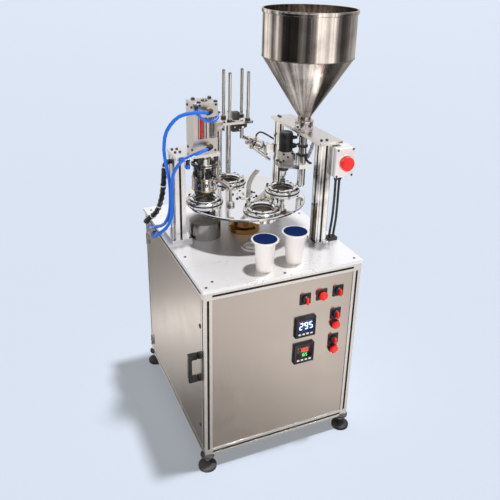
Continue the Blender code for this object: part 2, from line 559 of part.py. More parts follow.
def build_filling_station():
    """Two columns, bridge plate, hopper, valve, nozzle and the stop station."""
    rear_x, rear_y = REAR_CORNER.x + REAR_COLUMN / 2, REAR_CORNER.y + REAR_COLUMN / 2
    rear = box("rear_column", "polished", (rear_x - 0.022, rear_y - 0.022, TABLE_TOP + GAP),
               (rear_x + 0.022, rear_y + 0.022, TABLE_TOP + 0.012))
    join(rear, column("profile", (rear_x, rear_y), (REAR_COLUMN, REAR_COLUMN), (1, 1),
                      TABLE_TOP + 0.008, SLAB_BOTTOM - GAP))
    face = PIVOT.y - ARM_RADIUS - GAP
    join(rear, box("lug", "polished", (PIVOT.x - 0.014, face - 0.016, PIVOT.z - 0.018),
                   (REAR_CORNER.x + 0.001, face, PIVOT.z + 0.018)))
    pin_end = PIVOT.y + ARM_RADIUS + GAP
    join(rear, bar_between("pin", "black", (PIVOT.x, face - 0.008, PIVOT.z),
                           (PIVOT.x, pin_end + 0.002, PIVOT.z), PIN_RADIUS, 16))
    join(rear, bar_between("pin head", "black", (PIVOT.x, pin_end, PIVOT.z),
                           (PIVOT.x, pin_end + 0.004, PIVOT.z), 0.011, 16))
    centre_x, centre_y, size = RIGHT_COLUMN
    right = box("right_column", "aluminium", (centre_x - 0.028, centre_y - 0.032, TABLE_TOP + GAP),
                (centre_x + 0.028, centre_y + 0.032, TABLE_TOP + 0.012))
    join(right, column("profile", (centre_x, centre_y), (size, size), (1, 1),
                       TABLE_TOP + 0.008, SLAB_BOTTOM - GAP))
    slab = box("bridge_plate", "stainless", (SLAB_LEFT, SLAB_FRONT, SLAB_BOTTOM),
               (SLAB_RIGHT, SLAB_BACK, SLAB_TOP))
    cut(slab, rod("bore", "stainless", (HOPPER_X, HOPPER_Y), NECK_RADIUS - 0.006,
                  SLAB_BOTTOM - 0.01, SLAB_TOP + 0.01, 24))
    build_hopper()
    pump_high = SLAB_BOTTOM - GAP
    pump_low = DISC_TOP + 0.026
    pump = revolve("pump_tube", "polished",
                   [(0, pump_low), (0.011, pump_low), (0.0155, pump_low + 0.006),
                    (0.0155, pump_high - 0.016), (0.024, pump_high - 0.016),
                    (0.024, pump_high), (0, pump_high)], 28, at=(HOPPER_X, HOPPER_Y, 0))
    outline = [(HOPPER_X + 0.022, HOPPER_Y - 0.022), (HOPPER_X + 0.022, HOPPER_Y + 0.022),
               (NOZZLE_X + 0.030, NOZZLE_Y + 0.025), (NOZZLE_X - 0.026, NOZZLE_Y + 0.025),
               (NOZZLE_X - 0.026, NOZZLE_Y - 0.021), (HOPPER_X - 0.022, HOPPER_Y - 0.022)]
    join(pump, prism("arm", "stainless", outline, FILL_ARM, FILL_ARM + FILL_ARM_THICK))
    tip = DISC_TOP + 0.026
    revolve("nozzle", "polished",
            [(0, tip), (0.008, tip), (0.008, tip + 0.032), (0.013, tip + 0.040),
             (0.013, FILL_ARM - GAP), (0, FILL_ARM - GAP)], 20, at=(NOZZLE_X, NOZZLE_Y, 0))
    block_low = FILL_ARM + FILL_ARM_THICK + GAP
    block_high = block_low + 0.042
    valve_x = NOZZLE_X + 0.007
    box("valve_block", "aluminium", (valve_x - 0.024, NOZZLE_Y - 0.021, block_low),
        (valve_x + 0.024, NOZZLE_Y + 0.021, block_high))
    actuator = block_high + GAP
    revolve("valve_actuator", "black",
            [(0, actuator), (0.027, actuator), (0.027, actuator + 0.070),
             (0.023, actuator + 0.074), (0, actuator + 0.074)], 28, at=(valve_x, NOZZLE_Y, 0))
    low_corner = STOP_BOX_AT - STOP_BOX / 2
    high_corner = STOP_BOX_AT + STOP_BOX / 2
    station = box("stop_box", "grey", low_corner, high_corner)
    cut(station, revolve("bore", "grey", [(0, -0.03), (STEM_RADIUS + 0.0005, -0.03),
                                          (STEM_RADIUS + 0.0005, 0.03), (0, 0.03)],
                         20, at=(STOP_BOX_AT.x, low_corner.y, STOP_BOX_AT.z), axis="Y"))
    push_button("emergency_button", STOP_BOX_AT.x, low_corner.y, STOP_BOX_AT.z, 0.026, 0.026)


def build_hopper():
    """Barrel with a rolled rim, cone, and the collar that clamps the neck to the plate."""
    at = (HOPPER_X, HOPPER_Y, 0)
    inside = NECK_RADIUS - HOPPER_WALL
    bowl = HOPPER_RADIUS - HOPPER_WALL
    revolve("hopper_collar", "stainless",
            [(inside, NECK_LOW), (NECK_COLLAR - 0.001, NECK_LOW), (NECK_COLLAR, NECK_LOW + 0.002),
             (NECK_COLLAR, NECK_HIGH - GAP), (inside, NECK_HIGH - GAP)], 28, at=at)
    neck_top = NECK_HIGH + 0.015
    revolve("hopper_cone", "stainless",
            [(inside, NECK_HIGH), (NECK_RADIUS, NECK_HIGH), (NECK_RADIUS, neck_top),
             (HOPPER_RADIUS, CONE_HIGH - GAP), (bowl, CONE_HIGH - GAP), (inside, neck_top + 0.001)],
            40, at=at)
    revolve("hopper", "stainless",
            [(bowl, CONE_HIGH), (HOPPER_RADIUS, CONE_HIGH), (HOPPER_RADIUS, HOPPER_RIM - 0.014),
             (HOPPER_RADIUS + 0.004, HOPPER_RIM - 0.012), (HOPPER_RADIUS + 0.004, HOPPER_RIM),
             (bowl, HOPPER_RIM)], 48, at=at)


def push_button(name, x, face, z, radius, height):
    """A red head on a stem that slides in through a face looking to the front."""
    lift = 0.006
    profile = [(0, -0.018), (STEM_RADIUS, -0.018), (STEM_RADIUS, lift),
               (radius - 0.002, lift), (radius, lift + 0.003), (radius, height - 0.005),
               (radius - 0.006, height), (0, height)]
    revolve(name, "red", profile, 20, at=(x, face, z), axis="Y")


def build_controls():
    """Selectors, push buttons and the two panel instruments."""
    for name, (x, z) in SELECTORS.items():
        face = PANEL_FACE - 0.003
        knob = revolve(name, "black",
                       [(0, -0.018), (STEM_RADIUS, -0.018), (STEM_RADIUS, 0.001),
                        (0.015, 0.001), (0.015, 0.008), (0.013, 0.010), (0, 0.010)], 20,
                       at=(x, face, z), axis="Y")
        join(knob, box("grip", "red", (x - 0.0045, face - 0.022, z - 0.013),
                       (x + 0.0045, face - 0.006, z + 0.013)))
    for name, (x, z) in BUTTONS.items():
        face = PANEL_FACE - (0.003 if name == "start_button" else 0.0)
        push_button(name, x, face, z, 0.016, 0.020)
    for name, (x, z) in CONTROLLERS.items():
        half = 0.040
        bezel = box(name, "black", (x - half, PANEL_FACE - 0.010, z - half),
                    (x + half, PANEL_FACE - GAP, z + half))
        body = 0.0375
        join(bezel, box("case", "black", (x - body, PANEL_FACE - 0.004, z - body),
                        (x + body, PANEL_FACE + 0.060, z + body)))


def build_sample_cups():
    """Two sealed sample cups on the table."""
    foot = TABLE_TOP + GAP
    profile = [(0, foot + 0.003), (0.026, foot + 0.003), (0.027, foot), (0.029, foot),
               (0.0375, foot + 0.110), (0.0470, foot + 0.111), (0.0475, foot + 0.1135),
               (0.0470, foot + 0.1160), (0, foot + 0.1160)]
    for index, (x, y) in enumerate(CUPS):
        revolve(f"sample_cup_{index + 1}", "white", profile, 28, at=(x, y, 0))


def hose(name, look, points, radius):
    """A round tube along a smooth curve through the given points."""
    smooth = []
    spots = [Vector(p) for p in points]
    padded = [2 * spots[0] - spots[1]] + spots + [2 * spots[-1] - spots[-2]]
    steps = 3
    for i in range(1, len(padded) - 2):
        a, b, c, d = padded[i - 1:i + 3]
        for k in range(steps):
            t = k / steps
            smooth.append(0.5 * ((2 * b) + (c - a) * t + (2 * a - 5 * b + 4 * c - d) * t * t
                                 + (3 * b - a - 3 * c + d) * t ** 3))
    smooth.append(spots[-1])
    curve = bpy.data.curves.new(name, "CURVE")
    curve.dimensions = "3D"
    curve.bevel_depth = radius
    curve.bevel_resolution = 2
    curve.use_fill_caps = True
    line = curve.splines.new("POLY")
    line.points.add(len(smooth) - 1)
    for point, spot in zip(line.points, smooth):
        point.co = (spot.x, spot.y, spot.z, 1)
    curve.materials.append(finish(look))
    piece = bpy.data.objects.new(name, curve)
    bpy.context.scene.collection.objects.link(piece)
    piece.parent = bpy.data.objects["machine"]
    return piece


def as_mesh(piece):
    """Turn a hose into a plain mesh so that it can be welded to other solids."""
    bpy.context.view_layer.update()
    graph = bpy.context.evaluated_depsgraph_get()
    mesh = bpy.data.meshes.new_from_object(piece.evaluated_get(graph))
    name = piece.name
    bpy.data.objects.remove(piece, do_unlink=True)
    solid = bpy.data.objects.new(name, mesh)
    bpy.context.scene.collection.objects.link(solid)
    solid.parent = bpy.data.objects["machine"]
    return solid


def build_hoses():
    """Air hoses and cable bundle down the left side, and the stop station's cables."""
    face = SEAL_Y - CYLINDER_HALF
    port = SEAL_X + 0.005
    upper, lower = CYLINDER_TOP - 0.026, CYLINDER_FOOT + 0.030
    edge = -SIDE_X
    y = SEAL_Y
    rail = FRAME_TOP - PROFILE / 2
    hose("air_hose_upper", "blue",
         [(port, face - 0.0018, upper), (port, face - 0.018, upper),
          (port - 0.018, face - 0.038, upper + 0.001),
          (port - 0.053, face - 0.044, upper + 0.006),
          (edge + 0.042, y - 0.049, upper - 0.010), (edge + 0.002, y - 0.025, upper - 0.065),
          (edge - 0.006, y - 0.011, upper - 0.135), (edge + 0.004, y - 0.003, upper - 0.205),
          (edge + 0.015, y + 0.001, TABLE_TOP + 0.220),
          (edge + 0.015, y + 0.011, TABLE_TOP + 0.120),
          (edge + 0.004, y + 0.051, TABLE_TOP + 0.048),
          (edge - 0.019, y + 0.105, TABLE_TOP + 0.016),
          (edge - 0.025, y + 0.160, TABLE_TOP - 0.008), (edge - 0.021, y + 0.193, rail + 0.003),
          (edge - 0.0075, y + 0.207, rail)], 0.0065)
    hose("air_hose_lower", "blue",
         [(port, face - 0.0018, lower), (port, face - 0.018, lower),
          (port - 0.020, face - 0.037, lower - 0.001),
          (port - 0.061, face - 0.040, lower - 0.013),
          (edge + 0.046, y - 0.053, lower - 0.041), (edge + 0.019, y - 0.039, lower - 0.087),
          (edge + 0.014, y - 0.029, lower - 0.142),
          (edge + 0.014, y - 0.025, TABLE_TOP + 0.160),
          (edge + 0.013, y - 0.011, TABLE_TOP + 0.098), (edge, y + 0.017, TABLE_TOP + 0.045),
          (edge - 0.022, y + 0.060, TABLE_TOP + 0.004),
          (edge - 0.026, y + 0.105, TABLE_TOP - 0.026), (edge - 0.020, y + 0.141, rail - 0.003),
          (edge - 0.0075, y + 0.155, rail)], 0.0065)
    hose("cable_bundle", "black",
         [(SEAL_COLUMN_LEFT - 0.0012, y + 0.035, SEAL_SHELF - 0.026),
          (edge + 0.016, y + 0.035, SEAL_SHELF - 0.028),
          (edge + 0.007, y + 0.039, SEAL_SHELF - 0.050),
          (edge + 0.006, y + 0.052, SEAL_SHELF - 0.110),
          (edge + 0.007, y + 0.091, TABLE_TOP + 0.138), (edge, y + 0.143, TABLE_TOP + 0.062),
          (edge - 0.018, y + 0.195, TABLE_TOP + 0.014), (edge - 0.023, y + 0.233, rail + 0.014),
          (edge - 0.0105, y + 0.253, rail)], 0.009)
    build_stop_cables()


def build_stop_cables():
    """Two cables from the stop box to one gland block on the table."""
    x, y = STOP_BOX_AT.x, STOP_BOX_AT.y
    bottom = STOP_BOX_AT.z - STOP_BOX.z / 2
    glands = box("stop_cables", "black", (x - 0.019, y + 0.006, TABLE_TOP + GAP),
                 (x + 0.017, y + 0.036, TABLE_TOP + 0.014))
    for start_x, end_x in ((x - 0.017, x - 0.010), (x - 0.002, x + 0.007)):
        cable = hose("cable", "black",
                     [(start_x, y - 0.004, bottom - 0.0012), (start_x, y - 0.004, bottom - 0.030),
                      (start_x + 0.002, y - 0.001, bottom - 0.100),
                      (end_x - 0.001, y + 0.010, TABLE_TOP + 0.090),
                      (end_x, y + 0.020, TABLE_TOP + 0.034),
                      (end_x, y + 0.021, TABLE_TOP + 0.008)], 0.0045)
        join(glands, as_mesh(cable))


def main():
    """Build the whole machine."""
    clear_scene()
    root = bpy.data.objects.new("machine", None)
    bpy.context.scene.collection.objects.link(root)
    root.location = -MIDDLE
    build_cabinet()
    build_drive()
    build_turntable()
    build_sealing_station()
    build_lid_station()
    build_filling_station()
    build_controls()
    build_sample_cups()
    build_hoses()


main()
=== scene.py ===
"""Finishes, lighting and detail pieces for the rotary cup sealing machine."""
from __future__ import annotations

import json
import logging
import math
from dataclasses import dataclass, field
from enum import Enum

import bpy
from mathutils import Matrix, Vector

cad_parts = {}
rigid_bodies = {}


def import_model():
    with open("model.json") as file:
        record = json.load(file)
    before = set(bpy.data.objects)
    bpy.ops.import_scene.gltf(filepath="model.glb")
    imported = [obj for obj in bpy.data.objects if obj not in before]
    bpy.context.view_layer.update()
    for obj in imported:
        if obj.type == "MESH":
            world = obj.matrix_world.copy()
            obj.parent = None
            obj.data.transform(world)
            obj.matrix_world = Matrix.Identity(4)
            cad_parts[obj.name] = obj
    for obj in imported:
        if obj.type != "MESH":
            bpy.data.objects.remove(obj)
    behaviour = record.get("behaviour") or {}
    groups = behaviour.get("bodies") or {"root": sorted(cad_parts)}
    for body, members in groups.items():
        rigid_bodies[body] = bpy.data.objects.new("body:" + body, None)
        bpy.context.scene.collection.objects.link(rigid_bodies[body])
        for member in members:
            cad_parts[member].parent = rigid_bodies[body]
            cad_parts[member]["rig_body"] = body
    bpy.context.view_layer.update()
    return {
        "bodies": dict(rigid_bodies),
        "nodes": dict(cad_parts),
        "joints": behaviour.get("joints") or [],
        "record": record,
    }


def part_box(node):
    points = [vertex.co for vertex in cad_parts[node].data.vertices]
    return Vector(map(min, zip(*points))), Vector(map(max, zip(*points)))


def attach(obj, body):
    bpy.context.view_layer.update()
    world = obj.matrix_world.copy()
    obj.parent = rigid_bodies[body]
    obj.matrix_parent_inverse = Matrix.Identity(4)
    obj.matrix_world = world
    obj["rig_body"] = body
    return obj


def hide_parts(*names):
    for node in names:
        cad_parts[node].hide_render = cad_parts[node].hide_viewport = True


logging.basicConfig(level=logging.INFO, format="%(message)s")
LOG = logging.getLogger("cup_sealer")

Point = tuple[float, float, float]
Colour = tuple[float, float, float]

FRAME: dict = {}


class Axis(Enum):
    """Directions in which a round piece can point."""

    RIGHT = (0.0, math.radians(90), 0.0)
    LEFT = (0.0, math.radians(-90), 0.0)
    FRONT = (math.radians(90), 0.0, 0.0)
    BACK = (math.radians(-90), 0.0, 0.0)
    UP = (0.0, 0.0, 0.0)
    DOWN = (math.radians(180), 0.0, 0.0)


# Shader node groups


def new_group(name: str, inputs: list[tuple[str, str, object]],
              outputs: list[tuple[str, str]]) -> tuple[bpy.types.NodeTree, object, object]:
    """Start a shader node group.

    Args:
        name: Name of the group.
        inputs: Name, socket type and default of each input.
        outputs: Name and socket type of each output.

    Returns:
        The group, its input node and its output node.
    """
    group = bpy.data.node_groups.new(name, "ShaderNodeTree")
    for label, kind, value in inputs:
        socket = group.interface.new_socket(label, in_out="INPUT", socket_type=kind)
        socket.default_value = value
    for label, kind in outputs:
        group.interface.new_socket(label, in_out="OUTPUT", socket_type=kind)
    return group, group.nodes.new("NodeGroupInput"), group.nodes.new("NodeGroupOutput")


def math_node(tree: bpy.types.NodeTree, operation: str, first: object, second: object,
              clamp: bool = False) -> bpy.types.NodeSocket:
    """Add a Math node and return its result.

    Args:
        tree: Tree that gets the node.
        operation: Blender's name of the operation.
        first: Socket or number.
        second: Socket or number.
        clamp: Whether the result is kept between 0 and 1.

    Returns:
        The node's output socket.
    """
    node = tree.nodes.new("ShaderNodeMath")
    node.operation = operation
    node.use_clamp = clamp
    for index, value in enumerate((first, second)):
        if isinstance(value, bpy.types.NodeSocket):
            tree.links.new(value, node.inputs[index])
        else:
            node.inputs[index].default_value = value
    return node.outputs[0]


def grain_and_streak_group() -> bpy.types.NodeTree:
    """Brushed lines and soft smudges on metal, with a rounded edge; with a large tint the lines and
    smudges become painted reflection streaks.

    Returns:
        The node group.
    """
    found = bpy.data.node_groups.get("brushed grain")
    if found:
        return found
    group, source, sink = new_group(
        "brushed grain",
        [("Colour", "NodeSocketColor", (0.6, 0.6, 0.6, 1)),
         ("Stretch", "NodeSocketVector", (40, 40, 1400)),
         ("Roughness", "NodeSocketFloat", 0.3), ("Lines", "NodeSocketFloat", 0.1),
         ("Smudge", "NodeSocketFloat", 0.08), ("Depth", "NodeSocketFloat", 0.05),
         ("Tint", "NodeSocketFloat", 0.15), ("Edge", "NodeSocketFloat", 0.0006),
         ("Centre", "NodeSocketVector", (0, 0, 0)), ("Around", "NodeSocketFloat", 0.0)],
        [("Colour", "NodeSocketColor"), ("Roughness", "NodeSocketFloat"),
         ("Normal", "NodeSocketVector")])
    nodes, links = group.nodes, group.links
    place = nodes.new("ShaderNodeTexCoord").outputs["Object"]
    centred = nodes.new("ShaderNodeVectorMath")
    centred.operation = "SUBTRACT"
    links.new(place, centred.inputs[0])
    links.new(source.outputs["Centre"], centred.inputs[1])
    split = nodes.new("ShaderNodeSeparateXYZ")
    links.new(centred.outputs[0], split.inputs[0])
    turned_place = nodes.new("ShaderNodeCombineXYZ")
    links.new(math_node(group, "ARCTAN2", split.outputs["Y"], split.outputs["X"]),
              turned_place.inputs["X"])
    links.new(split.outputs["Z"], turned_place.inputs["Z"])
    choose = nodes.new("ShaderNodeMix")
    choose.data_type = "VECTOR"
    links.new(source.outputs["Around"], choose.inputs[0])
    links.new(place, choose.inputs[4])
    links.new(turned_place.outputs[0], choose.inputs[5])
    stretch = nodes.new("ShaderNodeVectorMath")
    stretch.operation = "MULTIPLY"
    links.new(choose.outputs[1], stretch.inputs[0])
    links.new(source.outputs["Stretch"], stretch.inputs[1])
    lines = nodes.new("ShaderNodeTexNoise")
    lines.inputs["Scale"].default_value = 1.0
    lines.inputs["Detail"].default_value = 3.0
    links.new(stretch.outputs[0], lines.inputs["Vector"])
    smudge = nodes.new("ShaderNodeTexNoise")
    smudge.inputs["Scale"].default_value = 7.0
    smudge.inputs["Detail"].default_value = 4.0
    smudge.inputs["Distortion"].default_value = 0.6
    links.new(place, smudge.inputs["Vector"])
    line_part = math_node(group, "SUBTRACT", lines.outputs["Fac"], 0.5)
    smudge_part = math_node(group, "SUBTRACT", smudge.outputs["Fac"], 0.5)
    rough = math_node(group, "MULTIPLY_ADD", line_part, source.outputs["Lines"])
    links.new(source.outputs["Roughness"], rough.node.inputs[2])
    total = math_node(group, "MULTIPLY_ADD", smudge_part, source.outputs["Smudge"], clamp=True)
    links.new(rough, total.node.inputs[2])
    links.new(total, sink.inputs["Roughness"])
    # The colour is scaled by the lines and smudges times Tint: a small Tint gives grain tone, a large one
    # paints reflection streaks.
    shade = math_node(group, "MULTIPLY_ADD", line_part, source.outputs["Tint"])
    shade.node.inputs[2].default_value = 1.0
    both = math_node(group, "MULTIPLY_ADD", smudge_part, source.outputs["Tint"])
    links.new(shade, both.node.inputs[2])
    tint = nodes.new("ShaderNodeVectorMath")
    tint.operation = "SCALE"
    links.new(source.outputs["Colour"], tint.inputs[0])
    links.new(both, tint.inputs["Scale"])
    links.new(tint.outputs[0], sink.inputs["Colour"])
    edge = nodes.new("ShaderNodeBevel")
    edge.samples = 4
    links.new(source.outputs["Edge"], edge.inputs["Radius"])
    bump = nodes.new("ShaderNodeBump")
    bump.inputs["Distance"].default_value = 0.0004
    links.new(source.outputs["Depth"], bump.inputs["Strength"])
    links.new(lines.outputs["Fac"], bump.inputs["Height"])
    links.new(edge.outputs[0], bump.inputs["Normal"])
    links.new(bump.outputs[0], sink.inputs["Normal"])
    return group


def mould_group() -> bpy.types.NodeTree:
    """Fine moulded texture and dust for plastics and paint.

    Returns:
        The node group.
    """
    found = bpy.data.node_groups.get("moulded skin")
    if found:
        return found
    group, source, sink = new_group(
        "moulded skin",
        [("Colour", "NodeSocketColor", (0.5, 0.5, 0.5, 1)),
         ("Dust colour", "NodeSocketColor", (0.6, 0.58, 0.55, 1)),
         ("Roughness", "NodeSocketFloat", 0.4), ("Dust", "NodeSocketFloat", 0.1),
         ("Grain size", "NodeSocketFloat", 1800.0), ("Depth", "NodeSocketFloat", 0.1),
         ("Edge", "NodeSocketFloat", 0.0008)],
        [("Colour", "NodeSocketColor"), ("Roughness", "NodeSocketFloat"),
         ("Normal", "NodeSocketVector")])
    nodes, links = group.nodes, group.links
    place = nodes.new("ShaderNodeTexCoord").outputs["Object"]
    fine = nodes.new("ShaderNodeTexNoise")
    links.new(place, fine.inputs["Vector"])
    links.new(source.outputs["Grain size"], fine.inputs["Scale"])
    cloud = nodes.new("ShaderNodeTexNoise")
    cloud.inputs["Scale"].default_value = 18.0
    cloud.inputs["Detail"].default_value = 5.0
    links.new(place, cloud.inputs["Vector"])
    ramp = nodes.new("ShaderNodeMapRange")
    ramp.inputs["From Min"].default_value = 0.42
    ramp.inputs["From Max"].default_value = 0.75
    links.new(cloud.outputs["Fac"], ramp.inputs["Value"])
    amount = math_node(group, "MULTIPLY", ramp.outputs[0], source.outputs["Dust"], clamp=True)
    mix = nodes.new("ShaderNodeMix")
    mix.data_type = "RGBA"
    links.new(amount, mix.inputs[0])
    links.new(source.outputs["Colour"], mix.inputs[6])
    links.new(source.outputs["Dust colour"], mix.inputs[7])
    links.new(mix.outputs[2], sink.inputs["Colour"])
    rough = math_node(group, "ADD", source.outputs["Roughness"], amount, clamp=True)
    links.new(rough, sink.inputs["Roughness"])
    edge = nodes.new("ShaderNodeBevel")
    edge.samples = 4
    links.new(source.outputs["Edge"], edge.inputs["Radius"])
    bump = nodes.new("ShaderNodeBump")
    bump.inputs["Distance"].default_value = 0.0002
    links.new(source.outputs["Depth"], bump.inputs["Strength"])
    links.new(fine.outputs["Fac"], bump.inputs["Height"])
    links.new(edge.outputs[0], bump.inputs["Normal"])
    links.new(bump.outputs[0], sink.inputs["Normal"])
    return group


def place_group(material: bpy.types.Material, group: bpy.types.NodeTree,
                values: dict[str, object]) -> bpy.types.Node:
    """Put a node group in a material and wire it to the shader.

    Args:
        material: Material that gets the group.
        group: The node group.
        values: Input values by name.

    Returns:
        The group node.
    """
    tree = material.node_tree
    node = tree.nodes.new("ShaderNodeGroup")
    node.node_tree = group
    for name, value in values.items():
        node.inputs[name].default_value = value
    shader = tree.nodes["Principled BSDF"]
    tree.links.new(node.outputs["Colour"], shader.inputs["Base Color"])
    tree.links.new(node.outputs["Roughness"], shader.inputs["Roughness"])
    tree.links.new(node.outputs["Normal"], shader.inputs["Normal"])
    return node


@dataclass(frozen=True)
class MetalFinish:
    """A brushed, turned or polished metal."""

    name: str
    colour: Colour
    roughness: float
    stretch: Point = (30.0, 30.0, 900.0)
    lines: float = 0.12
    smudge: float = 0.10
    depth: float = 0.04
    # tint gives grain tone when small; where it is large (hopper, cone, columns) it paints reflection
    # streaks.
    tint: float = 0.12
    edge: float = 0.0007
    metallic: float = 1.0
    axis_at: Point | None = None

    def build(self) -> bpy.types.Material:
        """Return the material, made on first use."""
        found = bpy.data.materials.get(self.name)
        if found:
            return found
        material = bpy.data.materials.new(self.name)
        material.use_nodes = True
        shader = material.node_tree.nodes["Principled BSDF"]
        shader.inputs["Metallic"].default_value = self.metallic
        values = {"Colour": (*self.colour, 1.0), "Stretch": self.stretch,
                  "Roughness": self.roughness, "Lines": self.lines, "Smudge": self.smudge,
                  "Depth": self.depth, "Tint": self.tint, "Edge": self.edge}
        if self.axis_at:
            values["Centre"] = spot(*self.axis_at)
            values["Around"] = 1.0
        place_group(material, grain_and_streak_group(), values)
        return material


@dataclass(frozen=True)
class PlasticFinish:
    """A moulded plastic, rubber or painted surface."""

    name: str
    colour: Colour
    roughness: float
    dust: float = 0.06
    grain: float = 1800.0
    depth: float = 0.08
    coat: float = 0.0
    edge: float = 0.0008
    glow: float = 0.0
    specular: float = 0.5

    def build(self) -> bpy.types.Material:
        """Return the material, made on first use."""
        found = bpy.data.materials.get(self.name)
        if found:
            return found
        material = bpy.data.materials.new(self.name)
        material.use_nodes = True
        shader = material.node_tree.nodes["Principled BSDF"]
        shader.inputs["Coat Weight"].default_value = self.coat
        shader.inputs["Coat Roughness"].default_value = 0.08
        shader.inputs["Specular IOR Level"].default_value = self.specular
        if self.glow:
            shader.inputs["Emission Color"].default_value = (*self.colour, 1.0)
            shader.inputs["Emission Strength"].default_value = self.glow
        place_group(material, mould_group(),
                    {"Colour": (*self.colour, 1.0), "Roughness": self.roughness,
                     "Dust": self.dust, "Grain size": self.grain, "Depth": self.depth,
                     "Edge": self.edge})
        return material


SHEET_STEEL = MetalFinish("brushed sheet steel", (0.60, 0.54, 0.495), 0.23, (700.0, 700.0, 18.0),
                          lines=0.06, smudge=0.14, depth=0.012, tint=0.14)
DOOR_STEEL = MetalFinish("brushed door sheet", (0.64, 0.585, 0.54), 0.20, (700.0, 700.0, 18.0),
                         lines=0.06, smudge=0.16, depth=0.012, tint=0.14)
TABLE_STEEL = MetalFinish("ground table plate", (0.93, 0.92, 0.92), 0.30, (60.0, 700.0, 60.0),
                          lines=0.12, smudge=0.14, depth=0.04, tint=0.10, metallic=0.35)
ANODISED = MetalFinish("satin anodised profile", (0.88, 0.86, 0.84), 0.26, (700.0, 700.0, 20.0),
                       lines=0.08, depth=0.03)
# Columns: tint 4.2 over lines stretched along the height paints upright black and white stripes: painted
# reflection stripes.
BRIGHT_PROFILE = MetalFinish("bright column profile", (0.60, 0.585, 0.57), 0.13,
                             (150.0, 150.0, 0.9), lines=0.05, smudge=0.05, depth=0.02, tint=4.2)
MACHINED = MetalFinish("machined aluminium", (0.66, 0.63, 0.60), 0.30, (260.0, 260.0, 260.0))
POLISHED = MetalFinish("polished stainless", (0.86, 0.84, 0.81), 0.09, (500.0, 500.0, 30.0),
                       lines=0.04, smudge=0.05, depth=0.015, tint=0.05, edge=0.0004)
DISC_STEEL = MetalFinish("lapped disc steel", (0.88, 0.87, 0.85), 0.07, (260.0, 260.0, 260.0),
                         lines=0.03, smudge=0.05, depth=0.01, tint=0.04)
# Hopper and cone: lines that run round the axis, with tint 1.7 and 2.6, paint upright dark and bright
# bands: painted reflection streaks.
HOPPER_STEEL = MetalFinish("spun hopper steel", (0.74, 0.68, 0.63), 0.13, (15.0, 1.0, 1.2),
                           lines=0.10, smudge=0.05, depth=0.01, tint=1.7,
                           axis_at=(0.228, 0.0, 0.0))
CONE_STEEL = MetalFinish("spun cone steel", (0.66, 0.60, 0.545), 0.27, (8.0, 1.0, 0.8), lines=0.10,
                         smudge=0.05, depth=0.01, tint=2.6, axis_at=(0.228, 0.0, 0.0))
BRIDGE_STEEL = MetalFinish("bridge plate steel", (0.80, 0.755, 0.72), 0.24, (60.0, 600.0, 60.0))
# The support steel is dark grey: painted shade for the dark region under the disc.
SUPPORT_STEEL = MetalFinish("support steel", (0.34, 0.32, 0.31), 0.22, (500.0, 500.0, 30.0))
BRASS = MetalFinish("turned brass", (0.36, 0.19, 0.055), 0.14, (60.0, 60.0, 1200.0), depth=0.04,
                    tint=0.3)
BRIGHT_BRASS = MetalFinish("brass fitting", (0.80, 0.55, 0.24), 0.20)
SPRING_STEEL = MetalFinish("dark spring steel", (0.30, 0.27, 0.24), 0.28)
BLACK_PLASTIC = PlasticFinish("black moulding", (0.010, 0.010, 0.011), 0.36, coat=0.15)
SLOT_BLACK = PlasticFinish("black slot strip", (0.006, 0.006, 0.006), 0.6, dust=0.02)
RUBBER = PlasticFinish("black rubber", (0.012, 0.012, 0.013), 0.55, dust=0.16, depth=0.2)
BLACK_STEEL = PlasticFinish("blackened steel", (0.014, 0.014, 0.014), 0.32, coat=0.3)
GREY_PAINT = PlasticFinish("light grey paint", (0.55, 0.56, 0.56), 0.4, coat=0.2)
MOTOR_PAINT = PlasticFinish("blue grey enamel", (0.07, 0.13, 0.22), 0.38, coat=0.3)
BOX_GREY = PlasticFinish("pale grey housing", (0.86, 0.84, 0.83), 0.42)
# The red plastic glows a little though no lamp is in it: painted glow.
RED_PLASTIC = PlasticFinish("signal red plastic", (0.95, 0.012, 0.008), 0.30, dust=0.0, coat=0.3,
                            glow=0.07)
GREEN_PLASTIC = PlasticFinish("green plastic", (0.01, 0.38, 0.07), 0.3, dust=0.0, coat=0.4)
HOSE_BLUE = PlasticFinish("blue air tube", (0.006, 0.16, 0.80), 0.24, dust=0.0, coat=0.4)
CLEAR_TUBE = PlasticFinish("milky tube", (0.62, 0.60, 0.56), 0.2, dust=0.05, coat=0.5)
CUP_WHITE = PlasticFinish("white cup board", (0.84, 0.80, 0.765), 0.34, dust=0.02)
LID_NAVY = PlasticFinish("navy lid film", (0.004, 0.017, 0.095), 0.5, dust=0.0, specular=0.02)
GUIDE_GREY = PlasticFinish("beige guide strip", (0.60, 0.57, 0.52), 0.42)
TIE_WHITE = PlasticFinish("white nylon", (0.85, 0.85, 0.83), 0.4)
CABLE_BLACK = PlasticFinish("black cable sheath", (0.011, 0.011, 0.012), 0.40)
DIGIT_BLUE = PlasticFinish("blue white digits", (0.45, 0.62, 1.0), 0.4, dust=0.0, glow=2.4)
DIGIT_RED = PlasticFinish("red digits", (1.0, 0.05, 0.03), 0.4, dust=0.0, glow=1.8)
DIGIT_GREEN = PlasticFinish("green digits", (0.05, 0.9, 0.15), 0.4, dust=0.0, glow=1.5)
WINDOW_BLUE = PlasticFinish("blue display window", (0.010, 0.020, 0.13), 0.12, dust=0.0,
                            coat=0.8)
WINDOW_DARK = PlasticFinish("dark display window", (0.010, 0.008, 0.008), 0.12, dust=0.0,
                            coat=0.8)

